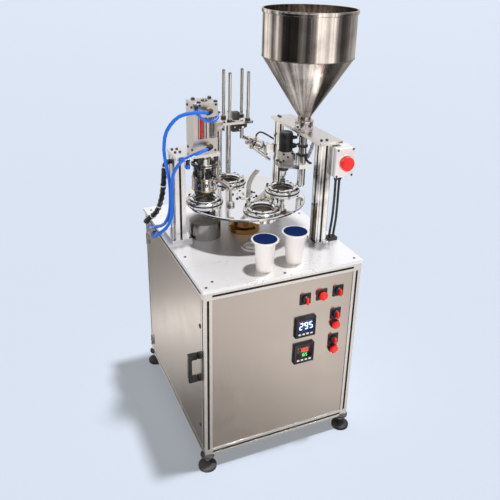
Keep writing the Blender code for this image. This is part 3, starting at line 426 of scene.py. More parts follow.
SLOT_FINISHES = {
    "slotted_aluminium": ANODISED, "stainless_sheet": SHEET_STEEL, "table_steel": TABLE_STEEL,
    "black_parts": BLACK_PLASTIC, "gearbox_grey": GREY_PAINT, "motor_paint": MOTOR_PAINT,
    "hub_brass": BRASS, "polished_steel": POLISHED, "cast_aluminium": MACHINED,
    "hopper_steel": HOPPER_STEEL, "box_grey": BOX_GREY, "button_red": RED_PLASTIC,
    "knob_black": BLACK_PLASTIC, "instrument_black": BLACK_PLASTIC, "hose_blue": HOSE_BLUE,
    "cable_black": CABLE_BLACK, "cup_white": CUP_WHITE,
}
NODE_FINISHES = {"right_column": BRIGHT_PROFILE, "rear_column": BRIGHT_PROFILE,
                 "cup_support": SUPPORT_STEEL, "door": DOOR_STEEL, "turntable": DISC_STEEL,
                 "bridge_plate": BRIDGE_STEEL, "hopper_cone": CONE_STEEL,
                 "front_left_foot": RUBBER, "front_right_foot": RUBBER, "rear_left_foot": RUBBER,
                 "rear_right_foot": RUBBER}


# Modelling helpers


def deselect() -> None:
    """Leave nothing selected."""
    if bpy.context.object and bpy.context.object.mode != "OBJECT":
        bpy.ops.object.mode_set(mode="OBJECT")
    bpy.ops.object.select_all(action="DESELECT")


def make_active(piece: bpy.types.Object) -> None:
    """Select one piece and make it active."""
    deselect()
    piece.select_set(True)
    bpy.context.view_layer.objects.active = piece


def settle(piece: bpy.types.Object, name: str, body: str, finish: MetalFinish | PlasticFinish,
           bevel: float = 0.0, segments: int = 2,
           angle: float = 35.0) -> bpy.types.Object:
    """Bevel, smooth, dress and seat a finished piece.

    Args:
        piece: The modelled object.
        name: Its name.
        body: The body that it rides on.
        finish: The finish it gets.
        bevel: Width of the rounded edges, in metres.
        segments: Segments of each rounded edge.
        angle: Angle above which an edge counts as sharp, in degrees.

    Returns:
        The same piece, ready.
    """
    make_active(piece)
    if bevel:
        rounding = piece.modifiers.new("edges", "BEVEL")
        rounding.width = bevel
        rounding.segments = segments
        rounding.limit_method = "ANGLE"
        rounding.angle_limit = math.radians(angle)
        bpy.ops.object.modifier_apply(modifier=rounding.name)
    bpy.ops.object.transform_apply(location=True, rotation=True, scale=True)
    bpy.ops.object.shade_smooth_by_angle(angle=math.radians(angle))
    piece.name = name
    piece.data.name = name
    piece.data.materials.clear()
    piece.data.materials.append(finish.build())
    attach(piece, body)
    return piece


def cylinder(centre: Point, radius: float, depth: float, axis: Axis = Axis.UP,
             sides: int = 32) -> bpy.types.Object:
    """Add a cylinder at its size and place.

    Args:
        centre: Middle of the cylinder.
        radius: Its radius.
        depth: Its length.
        axis: The way it points.
        sides: Number of side faces.

    Returns:
        The new object.
    """
    deselect()
    bpy.ops.mesh.primitive_cylinder_add(vertices=sides, radius=radius, depth=depth,
                                        location=centre, rotation=axis.value)
    return bpy.context.object


def block(low: Point, high: Point) -> bpy.types.Object:
    """Add a rectangular block between two corners.

    Args:
        low: Lowest corner.
        high: Highest corner.

    Returns:
        The new object, with its size applied.
    """
    deselect()
    low_v, high_v = Vector(low), Vector(high)
    bpy.ops.mesh.primitive_cube_add(size=1.0, location=(low_v + high_v) / 2)
    piece = bpy.context.object
    piece.scale = high_v - low_v
    bpy.ops.object.transform_apply(location=False, rotation=False, scale=True)
    return piece


def pick_faces(piece: bpy.types.Object, direction: Point, limit: float = 0.9) -> None:
    """Enter edit mode with the faces that look one way selected.

    Args:
        piece: The object.
        direction: Direction in the piece's own space.
        limit: Least dot product of a picked face's normal with it.
    """
    make_active(piece)
    aim = Vector(direction)
    for vertex in piece.data.vertices:
        vertex.select = False
    for edge in piece.data.edges:
        edge.select = False
    for face in piece.data.polygons:
        face.select = face.normal.dot(aim) > limit
    bpy.ops.object.mode_set(mode="EDIT")
    bpy.ops.mesh.select_mode(type="FACE")


def step_faces(piece: bpy.types.Object, direction: Point,
               steps: list[tuple[float, float]]) -> None:
    """Inset and push the end face of a piece, step by step.

    Args:
        piece: The object.
        direction: The way the end face looks, in the piece's own space.
        steps: Pairs of inset width and push distance.
    """
    pick_faces(piece, direction)
    aim = Vector(direction)
    for inset, push in steps:
        if inset:
            bpy.ops.mesh.inset(thickness=abs(inset), depth=0.0)
        if push:
            bpy.ops.mesh.extrude_region_move(
                TRANSFORM_OT_translate={"value": tuple(aim * push), "orient_type": "LOCAL"})
    bpy.ops.object.mode_set(mode="OBJECT")


def turned(centre: Point, profile: list[tuple[float, float]], sides: int = 48,
           axis: Axis = Axis.UP) -> bpy.types.Object:
    """Turn a profile on the lathe.

    Args:
        centre: Origin of the profile.
        profile: Radius and height of each point, closed or from pole to pole.
        sides: Number of steps round the axis.
        axis: The way the profile's height runs.

    Returns:
        The turned solid.
    """
    deselect()
    mesh = bpy.data.meshes.new("turned")
    points = [(radius, 0.0, height) for radius, height in profile]
    edges = [(i, i + 1) for i in range(len(points) - 1)]
    if profile[0][0] > 0 or profile[-1][0] > 0:
        edges.append((len(points) - 1, 0))
    mesh.from_pydata(points, edges, [])
    piece = bpy.data.objects.new("turned", mesh)
    bpy.context.scene.collection.objects.link(piece)
    make_active(piece)
    bpy.ops.object.mode_set(mode="EDIT")
    bpy.ops.mesh.select_all(action="SELECT")
    bpy.ops.mesh.spin(steps=sides, angle=2 * math.pi, center=(0, 0, 0), axis=(0, 0, 1))
    bpy.ops.mesh.select_all(action="SELECT")
    bpy.ops.mesh.remove_doubles(threshold=1e-6)
    bpy.ops.mesh.normals_make_consistent(inside=False)
    bpy.ops.object.mode_set(mode="OBJECT")
    piece.location = centre
    piece.rotation_euler = axis.value
    return piece


def cut_out(piece: bpy.types.Object, tool: bpy.types.Object,
            operation: str = "DIFFERENCE") -> bpy.types.Object:
    """Cut a tool out of a piece, or weld it on, and drop the tool.

    Args:
        piece: The object that is cut.
        tool: The cutting object.
        operation: DIFFERENCE or UNION.

    Returns:
        The piece.
    """
    make_active(piece)
    change = piece.modifiers.new("cut", "BOOLEAN")
    change.operation = operation
    change.solver = "EXACT"
    change.object = tool
    bpy.ops.object.modifier_apply(modifier=change.name)
    bpy.data.objects.remove(tool, do_unlink=True)
    return piece


def copy_at(piece: bpy.types.Object, shift: Point, name: str) -> bpy.types.Object:
    """Copy a finished piece to another place, with a mesh of its own.

    Args:
        piece: The finished piece.
        shift: How far the copy is moved.
        name: Name of the copy.

    Returns:
        The copy.
    """
    twin = piece.copy()
    twin.data = piece.data.copy()
    twin.data.transform(Matrix.Translation(shift))
    twin.name = name
    twin.data.name = name
    bpy.context.scene.collection.objects.link(twin)
    return twin


def tube(name: str, points: list[Point], radius: float, body: str,
         finish: MetalFinish | PlasticFinish, steps: int = 6) -> bpy.types.Object:
    """Lay a round tube along a smooth line.

    Args:
        name: Name of the piece.
        points: Points that the line passes.
        radius: Radius of the tube.
        body: The body it rides on.
        finish: Its finish.
        steps: Steps between two points.

    Returns:
        The tube as a mesh.
    """
    deselect()
    curve = bpy.data.curves.new(name, "CURVE")
    curve.dimensions = "3D"
    curve.bevel_depth = radius
    curve.bevel_resolution = 4
    curve.use_fill_caps = True
    line = curve.splines.new("POLY")
    smooth = smooth_line(points, steps)
    line.points.add(len(smooth) - 1)
    for point, spot in zip(line.points, smooth):
        point.co = (*spot, 1.0)
    piece = bpy.data.objects.new(name, curve)
    bpy.context.scene.collection.objects.link(piece)
    make_active(piece)
    bpy.ops.object.convert(target="MESH")
    return settle(bpy.context.object, name, body, finish)


def smooth_line(points: list[Point], steps: int) -> list[Vector]:
    """Round off a line through points.

    Args:
        points: The points.
        steps: Steps between two of them.

    Returns:
        The points of the smooth line.
    """
    spots = [Vector(p) for p in points]
    padded = [2 * spots[0] - spots[1]] + spots + [2 * spots[-1] - spots[-2]]
    smooth = []
    for i in range(1, len(padded) - 2):
        a, b, c, d = padded[i - 1:i + 3]
        for k in range(steps):
            t = k / steps
            smooth.append(0.5 * ((2 * b) + (c - a) * t + (2 * a - 5 * b + 4 * c - d) * t * t
                                 + (3 * b - a - 3 * c + d) * t ** 3))
    smooth.append(spots[-1])
    return smooth


def centre_of(node: str) -> Vector:
    """Return the middle of a CAD node's box."""
    low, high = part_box(node)
    return (low + high) / 2


def spot(x: float, y: float, z: float) -> Vector:
    """Return a place counted from the middle of the cabinet on the floor."""
    return FRAME["origin"] + Vector((x, y, z))


def ring(centre: Point, inner: float, outer: float, low: float, high: float, sides: int = 40,
         axis: Axis = Axis.UP) -> bpy.types.Object:
    """Turn a plain ring between two heights.

    Args:
        centre: Origin of the ring's axis.
        inner: Inner radius.
        outer: Outer radius.
        low: Height of its lower face.
        high: Height of its upper face.
        sides: Steps round the axis.
        axis: The way the heights run.

    Returns:
        The ring.
    """
    return turned(centre, [(inner, low), (outer, low), (outer, high), (inner, high)], sides, axis)


def aimed(piece: bpy.types.Object, direction: Point) -> bpy.types.Object:
    """Turn a piece that looks up so that it looks another way.

    Args:
        piece: The piece.
        direction: The way it shall look.

    Returns:
        The same piece.
    """
    piece.rotation_euler = Vector(direction).to_track_quat("Z", "Y").to_euler()
    return piece


def joined(pieces: list[bpy.types.Object]) -> bpy.types.Object:
    """Make one object of several.

    Args:
        pieces: The objects, at least one.

    Returns:
        The first of them, which now holds all.
    """
    deselect()
    for piece in pieces:
        piece.select_set(True)
    bpy.context.view_layer.objects.active = pieces[0]
    if len(pieces) > 1:
        bpy.ops.object.join()
    return pieces[0]


@dataclass
class ScrewKit:
    """Socket head screws and hexagon nuts, modelled once and copied to their places."""

    masters: dict[tuple[str, float, float], bpy.types.Mesh] = field(default_factory=dict)

    def screw(self, radius: float, height: float) -> bpy.types.Mesh:
        """Return the mesh of a socket head screw that looks up.

        Args:
            radius: Radius of the head.
            height: Height of the head.

        Returns:
            The mesh, made on first use.
        """
        key = ("screw", radius, height)
        if key not in self.masters:
            head = turned((0, 0, 0), [(0, 0), (radius, 0), (radius, 0.8 * height),
                                      (0.84 * radius, height), (0.56 * radius, height),
                                      (0.5 * radius, 0.35 * height), (0, 0.3 * height)], 16)
            self.masters[key] = head.data
            bpy.data.objects.remove(head, do_unlink=True)
        return self.masters[key]

    def nut(self, radius: float, height: float) -> bpy.types.Mesh:
        """Return the mesh of a hexagon nut with a bore and chamfered corners.

        Args:
            radius: Radius over the corners.
            height: Height of the nut.

        Returns:
            The mesh, made on first use.
        """
        key = ("nut", radius, height)
        if key not in self.masters:
            body = cylinder((0, 0, height / 2), radius, height, Axis.UP, 6)
            step_faces(body, (0, 0, 1), [(0.12 * radius, 0.1 * height)])
            cut_out(body, cylinder((0, 0, 0), 0.6 * radius, 4 * height, Axis.UP, 20))
            make_active(body)
            bpy.ops.object.transform_apply(location=True, rotation=True, scale=True)
            self.masters[key] = body.data
            bpy.data.objects.remove(body, do_unlink=True)
        return self.masters[key]

    def place(self, name: str, body: str, places: list[Vector], direction: Point | list[Point],
              radius: float = 0.0045, height: float = 0.003,
              finish: MetalFinish | PlasticFinish | None = None, slot: str = "black_parts",
              kind: str = "screw") -> bpy.types.Object:
        """Copy a fastener to several places as one piece.

        Args:
            name: Name of the piece.
            body: The body that it rides on.
            places: Where each one sits.
            direction: The way all look, or one way for each.
            radius: Radius of the head.
            height: Height of the head.
            finish: The finish, blackened steel where none is given.
            slot: Material slot of the record; not used.
            kind: Either screw or nut.

        Returns:
            The finished piece.
        """
        mesh = self.screw(radius, height) if kind == "screw" else self.nut(radius, height)
        ways = direction if isinstance(direction, list) else [direction] * len(places)
        copies = []
        for place, way in zip(places, ways):
            twin = bpy.data.objects.new(name, mesh.copy())
            bpy.context.scene.collection.objects.link(twin)
            twin.location = place
            copies.append(aimed(twin, way))
        return settle(joined(copies), name, body, finish or BLACK_STEEL)


UP, DOWN = (0.0, 0.0, 1.0), (0.0, 0.0, -1.0)
FRONT, BACK = (0.0, -1.0, 0.0), (0.0, 1.0, 0.0)
LEFT, RIGHT = (-1.0, 0.0, 0.0), (1.0, 0.0, 0.0)


@dataclass(frozen=True)
class StudioCamera:
    """The camera at the photograph's place."""

    eye: Point = (-0.884, -1.999, 1.792)
    pitch: float = math.radians(23.13)
    yaw: float = math.radians(24.30)
    roll: float = math.radians(1.37)
    focal_px: float = 624.4
    centre_px: tuple[float, float] = (251.0, 210.0)
    image_px: float = 500.0

    def build(self, origin: Vector) -> None:
        """Create the camera.

        Args:
            origin: Middle of the cabinet on the floor.
        """
        ahead = Vector((math.sin(self.yaw) * math.cos(self.pitch),
                        math.cos(self.yaw) * math.cos(self.pitch), -math.sin(self.pitch)))
        right = Vector((math.cos(self.yaw), -math.sin(self.yaw), 0.0))
        above = right.cross(ahead)
        side = math.cos(self.roll) * right + math.sin(self.roll) * above
        head = -math.sin(self.roll) * right + math.cos(self.roll) * above
        turn = Matrix((side, head, -ahead)).transposed().to_4x4()
        data = bpy.data.cameras.new("camera")
        data.sensor_width = 36.0
        data.lens = self.focal_px / self.image_px * data.sensor_width
        data.shift_x = (self.image_px / 2 - self.centre_px[0]) / self.image_px
        data.shift_y = (self.centre_px[1] - self.image_px / 2) / self.image_px
        data.clip_end = 200.0
        camera = bpy.data.objects.new("camera", data)
        camera.matrix_world = Matrix.Translation(Vector(self.eye) + origin) @ turn
        bpy.context.scene.collection.objects.link(camera)
        bpy.context.scene.camera = camera


@dataclass(frozen=True)
class Studio:
    """Plain floor, soft lights and surroundings of upright soft panels."""

    floor_colour: Colour = (0.40, 0.455, 0.545)
    floor_glow: Colour = (0.26, 0.275, 0.29)
    floor_half: float = 40.0
    panels: tuple[tuple[float, float], ...] = (
        (0, 0.30), (20, 0.50), (45, 0.65), (78, 0.70), (94, 0.06), (101, 0.40), (107, 1.15), (116, 1.20),
        (134, 0.85), (143, 0.06), (158, 1.10), (168, 0.30), (178, 0.03), (214, 0.02),
        (226, 0.28), (238, 0.05), (254, 0.25), (265, 1.80), (288, 0.88), (304, 1.30),
        (316, 0.15), (330, 0.05), (346, 0.12), (360, 0.30))
    heights: tuple[tuple[float, float], ...] = (
        (0.0, 0.20), (0.35, 0.30), (0.43, 0.85), (0.485, 1.12), (0.53, 0.78), (1.0, 0.85))
    side_heights: tuple[tuple[float, float], ...] = (
        (0.0, 0.12), (0.35, 0.15), (0.41, 0.55), (0.455, 1.15), (0.50, 0.50), (0.56, 0.34),
        (0.75, 0.80), (1.0, 0.85))
    lean: float = 0.05
    fill: Colour = (0.06, 0.06, 0.064)
    low_tint: Colour = (1.0, 0.96, 0.92)

    def build(self) -> None:
        """Create floor, surroundings and lights."""
        self.floor()
        self.surroundings()
        self.sun()
        self.light("left light", (-3.0, -1.2, 1.1), (0.0, 0.0, 0.8), 2.0, 16.0)
        self.light("front light", (-0.5, -3.2, 0.95), (0.0, 0.0, 0.85), 1.6, 50.0)
        bpy.context.scene.view_settings.view_transform = "Standard"

    def floor(self) -> None:
        """Lay the plain pale floor."""
        deselect()
        bpy.ops.mesh.primitive_plane_add(size=2 * self.floor_half, location=(0, 0, 0))
        plane = bpy.context.object
        plane.name = "floor"
        plane.visible_glossy = False
        material = bpy.data.materials.new("pale floor")
        material.use_nodes = True
        shader = material.node_tree.nodes["Principled BSDF"]
        shader.inputs["Base Color"].default_value = (*self.floor_colour, 1.0)
        shader.inputs["Roughness"].default_value = 0.7
        shader.inputs["Emission Color"].default_value = (*self.floor_glow, 1.0)
        shader.inputs["Emission Strength"].default_value = 1.0
        plane.data.materials.append(material)

    def stops(self, tree: bpy.types.NodeTree, source: bpy.types.NodeSocket,
              levels: tuple[tuple[float, float], ...], tint: Colour) -> bpy.types.NodeSocket:
        """Add a soft colour ramp to the surroundings.

        Args:
            tree: Node tree of the world.
            source: Value that runs along the ramp.
            levels: Place and brightness of each stop.
            tint: Colour of full brightness.

        Returns:
            The colour that comes out.
        """
        node = tree.nodes.new("ShaderNodeValToRGB")
        ramp = node.color_ramp
        ramp.interpolation = "EASE"
        ramp.elements.remove(ramp.elements[-1])
        ramp.elements[0].position = levels[0][0]
        for position, _ in levels[1:]:
            ramp.elements.new(position)
        for element, (_, level) in zip(ramp.elements, levels):
            element.color = tuple(level * part for part in tint) + (1.0,)
        tree.links.new(source, node.inputs[0])
        return node.outputs[0]

    def blend(self, tree: bpy.types.NodeTree, amount: object, first: bpy.types.NodeSocket,
              second: object, kind: str = "MIX") -> bpy.types.NodeSocket:
        """Mix two colours of the surroundings.

        Args:
            tree: Node tree of the world.
            amount: Socket or number that tells how much of the second is taken.
            first: First colour.
            second: Second colour, a socket or plain values.
            kind: Way of mixing.

        Returns:
            The mixed colour.
        """
        mix = tree.nodes.new("ShaderNodeMix")
        mix.data_type = "RGBA"
        mix.blend_type = kind
        for value, index in ((amount, 0), (first, 6), (second, 7)):
            if isinstance(value, bpy.types.NodeSocket):
                tree.links.new(value, mix.inputs[index])
            else:
                mix.inputs[index].default_value = value
        return mix.outputs[2]

    def span(self, tree: bpy.types.NodeTree, source: bpy.types.NodeSocket, low: float,
             high: float, top: float = 1.0) -> bpy.types.NodeSocket:
        """Let a value rise from nothing between two limits.

        Args:
            tree: Node tree of the world.
            source: Value that is measured.
            low: Where it starts to rise.
            high: Where it is full.
            top: The full value.

        Returns:
            The rising value.
        """
        rise = tree.nodes.new("ShaderNodeMapRange")
        rise.inputs["From Min"].default_value = low
        rise.inputs["From Max"].default_value = high
        rise.inputs["To Max"].default_value = top
        tree.links.new(source, rise.inputs["Value"])
        return rise.outputs[0]

    def surroundings(self) -> None:
        """Make upright soft panels round the machine and a bright ceiling."""
        world = bpy.data.worlds.new("studio")
        bpy.context.scene.world = world
        world.use_nodes = True
        tree = world.node_tree
        place = tree.nodes.new("ShaderNodeTexCoord")
        split = tree.nodes.new("ShaderNodeSeparateXYZ")
        tree.links.new(place.outputs["Generated"], split.inputs[0])
        height = split.outputs["Z"]
        turn = math_node(tree, "ARCTAN2", split.outputs["Y"], split.outputs["X"])
        circle = math_node(tree, "MULTIPLY", turn, 1 / math.tau)
        around = math_node(tree, "FRACT", math_node(tree, "ADD", circle, 1.0), 0.0)
        panels = tuple((angle / 360, level) for angle, level in self.panels)
        bands = self.stops(tree, around, panels, self.low_tint)
        lean = self.span(tree, around, 0.800, 0.850, self.lean)
        rise = math_node(tree, "ADD", math_node(tree, "ADD", height, 1.0), lean)
        white = (1.0, 1.0, 1.0)
        front = self.stops(tree, rise, self.heights, white)
        side = self.stops(tree, rise, self.side_heights, white)
        slope = self.blend(tree, math_node(tree, "LESS_THAN", around, 0.5), front, side)
        shaded = self.blend(tree, 1.0, bands, slope, "MULTIPLY")
        colour = self.blend(tree, self.span(tree, height, 0.05, 0.45), shaded,
                            (0.92, 0.94, 1.0, 1.0))
        shader = tree.nodes["Background"]
        tree.links.new(colour, shader.inputs["Color"])
        shader.inputs["Strength"].default_value = 1.0
        plain = tree.nodes.new("ShaderNodeBackground")
        plain.inputs["Color"].default_value = (0.74, 0.82, 0.93, 1.0)
        fill = tree.nodes.new("ShaderNodeBackground")
        fill.inputs["Color"].default_value = (*self.fill, 1.0)
        path = tree.nodes.new("ShaderNodeLightPath")
        soft = tree.nodes.new("ShaderNodeMixShader")
        tree.links.new(path.outputs["Is Diffuse Ray"], soft.inputs[0])
        tree.links.new(shader.outputs[0], soft.inputs[1])
        tree.links.new(fill.outputs[0], soft.inputs[2])
        choose = tree.nodes.new("ShaderNodeMixShader")
        tree.links.new(path.outputs["Is Camera Ray"], choose.inputs[0])
        tree.links.new(soft.outputs[0], choose.inputs[1])
        tree.links.new(plain.outputs[0], choose.inputs[2])
        tree.links.new(choose.outputs[0], tree.nodes["World Output"].inputs["Surface"])

    def sun(self) -> None:
        """Shine from high above, a little from the right."""
        data = bpy.data.lights.new("overhead light", "SUN")
        data.energy = 3.0
        data.angle = math.radians(5)
        lamp = bpy.data.objects.new("overhead light", data)
        way = Vector((-math.sin(math.radians(13)), 0.03, -math.cos(math.radians(13))))
        lamp.rotation_euler = way.to_track_quat("-Z", "Y").to_euler()
        bpy.context.scene.collection.objects.link(lamp)

    def light(self, name: str, place: Point, target: Point, size: float, power: float) -> None:
        """Hang one soft square light.

        Args:
            name: Name of the light.
            place: Where it hangs.
            target: The point it looks at.
            size: Edge of the panel.
            power: Power in watts.
        """
        data = bpy.data.lights.new(name, "AREA")
        data.size = size
        data.energy = power
        data.color = (1.0, 0.94, 0.88)
        lamp = bpy.data.objects.new(name, data)
        lamp.location = place
        lamp.visible_glossy = False
        spared = bpy.data.collections.new(f"{name} spares the floor")
        spared.objects.link(bpy.data.objects["floor"])
        lamp.light_linking.receiver_collection = spared
        spared.collection_objects[0].light_linking.link_state = "EXCLUDE"
        aim = Vector(target) - Vector(place)
        lamp.rotation_euler = aim.to_track_quat("-Z", "Y").to_euler()
        bpy.context.scene.collection.objects.link(lamp)


def dress_nodes() -> None:
    """Give every CAD node the finish of its slot."""
    slots = {row["node"]: row["material_slot"] for row in FRAME["record"]["subparts"]}
    for name, node in FRAME["nodes"].items():
        material = NODE_FINISHES.get(name, SLOT_FINISHES[slots[name]]).build()
        node.data.materials.clear()
        node.data.materials.append(material)
        node.data.set_sharp_from_angle(angle=math.radians(35))


@dataclass(frozen=True)
class RoundSurfaces:
    """Smoothly shaded surfaces of the round CAD nodes, merged from their triangles."""

    nodes: tuple[str, ...] = (
        "hopper", "hopper_cone", "hopper_collar", "pump_tube", "nozzle", "turntable",
        "hub_flange", "cup_support", "cup_mould_1", "cup_mould_2", "cup_mould_3",
        "cup_mould_4", "air_cylinder", "sealing_rod", "heater_head", "lid_magazine",
        "magazine_tower", "pick_up_arm", "air_hose_upper", "air_hose_lower", "cable_bundle",
        "stop_cables", "emergency_button", "start_button", "reset_button", "stop_button",
        "sample_cup_1", "sample_cup_2", "front_left_foot", "front_right_foot",
        "rear_left_foot", "rear_right_foot")
    smooth_below: float = 32.0

    def build(self, kit: ScrewKit) -> None:
        """Replace each round node by its smooth surface."""
        slots = {row["node"]: row["material_slot"] for row in FRAME["record"]["subparts"]}
        for name in self.nodes:
            self.surface(name, slots[name])

    def surface(self, name: str, slot: str) -> None:
        """Merge a copy of one node and shade it smooth.

        Args:
            name: Name of the CAD node.
            slot: Its material slot.
        """
        node = FRAME["nodes"][name]
        piece = bpy.data.objects.new(f"{name}_surface", node.data.copy())
        bpy.context.scene.collection.objects.link(piece)
        make_active(piece)
        bpy.ops.mesh.customdata_custom_splitnormals_clear()
        bpy.ops.object.mode_set(mode="EDIT")
        bpy.ops.mesh.select_all(action="SELECT")
        bpy.ops.mesh.remove_doubles(threshold=2e-6)
        bpy.ops.mesh.normals_make_consistent(inside=False)
        bpy.ops.object.mode_set(mode="OBJECT")
        for label in ("sharp_edge", "sharp_face"):
            found = piece.data.attributes.get(label)
            if found:
                piece.data.attributes.remove(found)
        finish = NODE_FINISHES.get(name, SLOT_FINISHES[slot])
        settle(piece, f"{name}_surface", node["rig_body"], finish,
               angle=self.smooth_below)
        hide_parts(name)
        # The disc's downward faces get dark spring steel: painted shade that darkens the underside and the
        # shadow beneath it.
        if name == "turntable":
            piece.data.materials.append(SPRING_STEEL.build())
            for face in piece.data.polygons:
                face.material_index = 1 if face.normal.z < -0.9 else 0


@dataclass
class FrontPanel:
    """Switch plates, buttons and instruments on the front panel."""

    plate: float = 0.0424
    plate_depth: float = 0.0034
    ring_radius: float = 0.0185

    def build(self, kit: ScrewKit) -> None:
        """Dress the whole panel."""
        for name in ("selector_1", "selector_2", "selector_3", "selector_4"):
            self.legend(name)
            self.selector(name)
        self.legend("start_button")
        for name in ("reset_button", "stop_button"):
            self.ring(name)
        self.instrument("speed_controller", WINDOW_BLUE)
        self.instrument("heat_controller", WINDOW_DARK)

    def face(self) -> float:
        """Return the panel's outer face."""
        low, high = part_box("front_panel")
        return high.y - 0.002

    def legend(self, node: str) -> None:
        """Lay a black square plate round a switch."""
        middle = centre_of(node)
        half = self.plate / 2
        face = self.face()
        plate = block((middle.x - half, face - self.plate_depth, middle.z - half),
                      (middle.x + half, face - 0.0001, middle.z + half))
        hole = cylinder((middle.x, face, middle.z), 0.0095, 0.02, Axis.FRONT)
        cut_out(plate, hole)
        settle(plate, f"{node}_plate", "frame", BLACK_PLASTIC, bevel=0.0008)

    def selector(self, node: str) -> None:
        """Make a knob with a red grip."""
        middle = centre_of(node)
        face = self.face() - 0.003
        base = turned((middle.x, face, middle.z),
                      [(0.0, -0.018), (0.008, -0.018), (0.008, 0.001), (0.0155, 0.001),
                       (0.0155, 0.007), (0.0135, 0.0105), (0.0, 0.0105)], 40, Axis.FRONT)
        knob = settle(base, f"{node}_knob", node, BLACK_PLASTIC, bevel=0.0004)
        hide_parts(node)
        grip = block((middle.x - 0.0045, face - 0.0215, middle.z - 0.0128),
                     (middle.x + 0.0045, face - 0.0095, middle.z + 0.0128))
        settle(grip, f"{node}_grip", node, RED_PLASTIC, bevel=0.002, segments=3)

    def ring(self, node: str) -> None:
        """Put a dark ring round a push button."""
        middle = centre_of(node)
        face = self.face()
        ring = turned((middle.x, face, middle.z),
                      [(0.0095, 0.0002), (self.ring_radius, 0.0002), (self.ring_radius, 0.003),
                       (self.ring_radius - 0.0006, 0.0048), (self.ring_radius - 0.0015, 0.0048),
                       (self.ring_radius - 0.0019, 0.0014), (0.0095, 0.0014)], 40, Axis.FRONT)
        settle(ring, f"{node}_ring", "frame", BLACK_PLASTIC, bevel=0.0004)

    def instrument(self, node: str, window: PlasticFinish) -> None:
        """Put bezel, window, digits and keys on an instrument.

        Args:
            node: The CAD node of the instrument.
            window: Finish of its window.
        """
        low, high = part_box(node)
        face = low.y
        width = high.x - low.x
        rim = block((low.x + 0.0004, face - 0.0016, low.z + 0.0004),
                    (high.x - 0.0004, face + 0.0004, high.z - 0.0004))
        cut_out(rim, block((low.x + 0.0062, face - 0.01, low.z + 0.0062),
                           (high.x - 0.0062, face + 0.01, high.z - 0.0062)))
        settle(rim, f"{node}_bezel", "frame", BLACK_PLASTIC, bevel=0.0007)
        pane = block((low.x + 0.11 * width, face - 0.0009, low.z + 0.27 * width),
                     (high.x - 0.11 * width, face + 0.0006, high.z - 0.11 * width))
        settle(pane, f"{node}_window", "frame", window, bevel=0.0004)
        if node == "speed_controller":
            rows = [("295", DIGIT_BLUE, 0.42, 0.36, 0.16)]
        else:
            rows = [("180", DIGIT_RED, 0.60, 0.22, 0.26), ("165", DIGIT_GREEN, 0.36, 0.17, 0.32)]
        for index, (text, finish, foot, height, left) in enumerate(rows):
            bars = []
            for place, digit in enumerate(text):
                bars += self.digit(digit, low.x + (left + 0.68 * place * height) * width,
                                   face - 0.0010, low.z + foot * width, height * width)
            settle(joined(bars), f"{node}_digits_{index + 1}", "frame", finish,
                   bevel=0.0003)
        keys = []
        for k in range(4):
            x = low.x + (0.20 + 0.20 * k) * width
            keys.append(block((x - 0.0050, face - 0.0014, low.z + 0.12 * width),
                              (x + 0.0050, face + 0.0004, low.z + 0.20 * width)))
        settle(joined(keys), f"{node}_keys", "frame", BOX_GREY,
               bevel=0.0006)
        lamps = [turned((low.x + (0.16 + 0.14 * k) * width, face - 0.0008,
                         high.z - 0.17 * width), [(0, 0), (0.0012, 0), (0.0012, 0.0006),
                                                  (0, 0.0008)], 12, Axis.FRONT)
                 for k in range(2)]
        settle(joined(lamps), f"{node}_lamps", "frame", DIGIT_RED)

    def digit(self, digit: str, left: float, face: float, low: float,
              height: float) -> list[bpy.types.Object]:
        """Model one seven segment digit.

        Args:
            digit: The figure.
            left: Its left edge.
            face: The face that it lies on.
            low: Its lower edge.
            height: Its height.

        Returns:
            One bar for each lit segment.
        """
        lit = {"0": "abcdef", "1": "bc", "2": "abged", "5": "afgcd", "6": "afgecd",
               "8": "abcdefg", "9": "abcdfg"}[digit]
        wide, bar = 0.52 * height, 0.13 * height
        half = height / 2
        spans = {"a": (bar, height - bar, wide - bar, height), "d": (bar, 0.0, wide - bar, bar),
                 "g": (bar, half - bar / 2, wide - bar, half + bar / 2),
                 "b": (wide - bar, half + bar / 3, wide, height - bar / 3),
                 "c": (wide - bar, bar / 3, wide, half - bar / 3),
                 "e": (0.0, bar / 3, bar, half - bar / 3),
                 "f": (0.0, half + bar / 3, bar, height - bar / 3)}
        return [block((left + spans[k][0], face - 0.0004, low + spans[k][1]),
                      (left + spans[k][2], face + 0.0003, low + spans[k][3])) for k in lit]


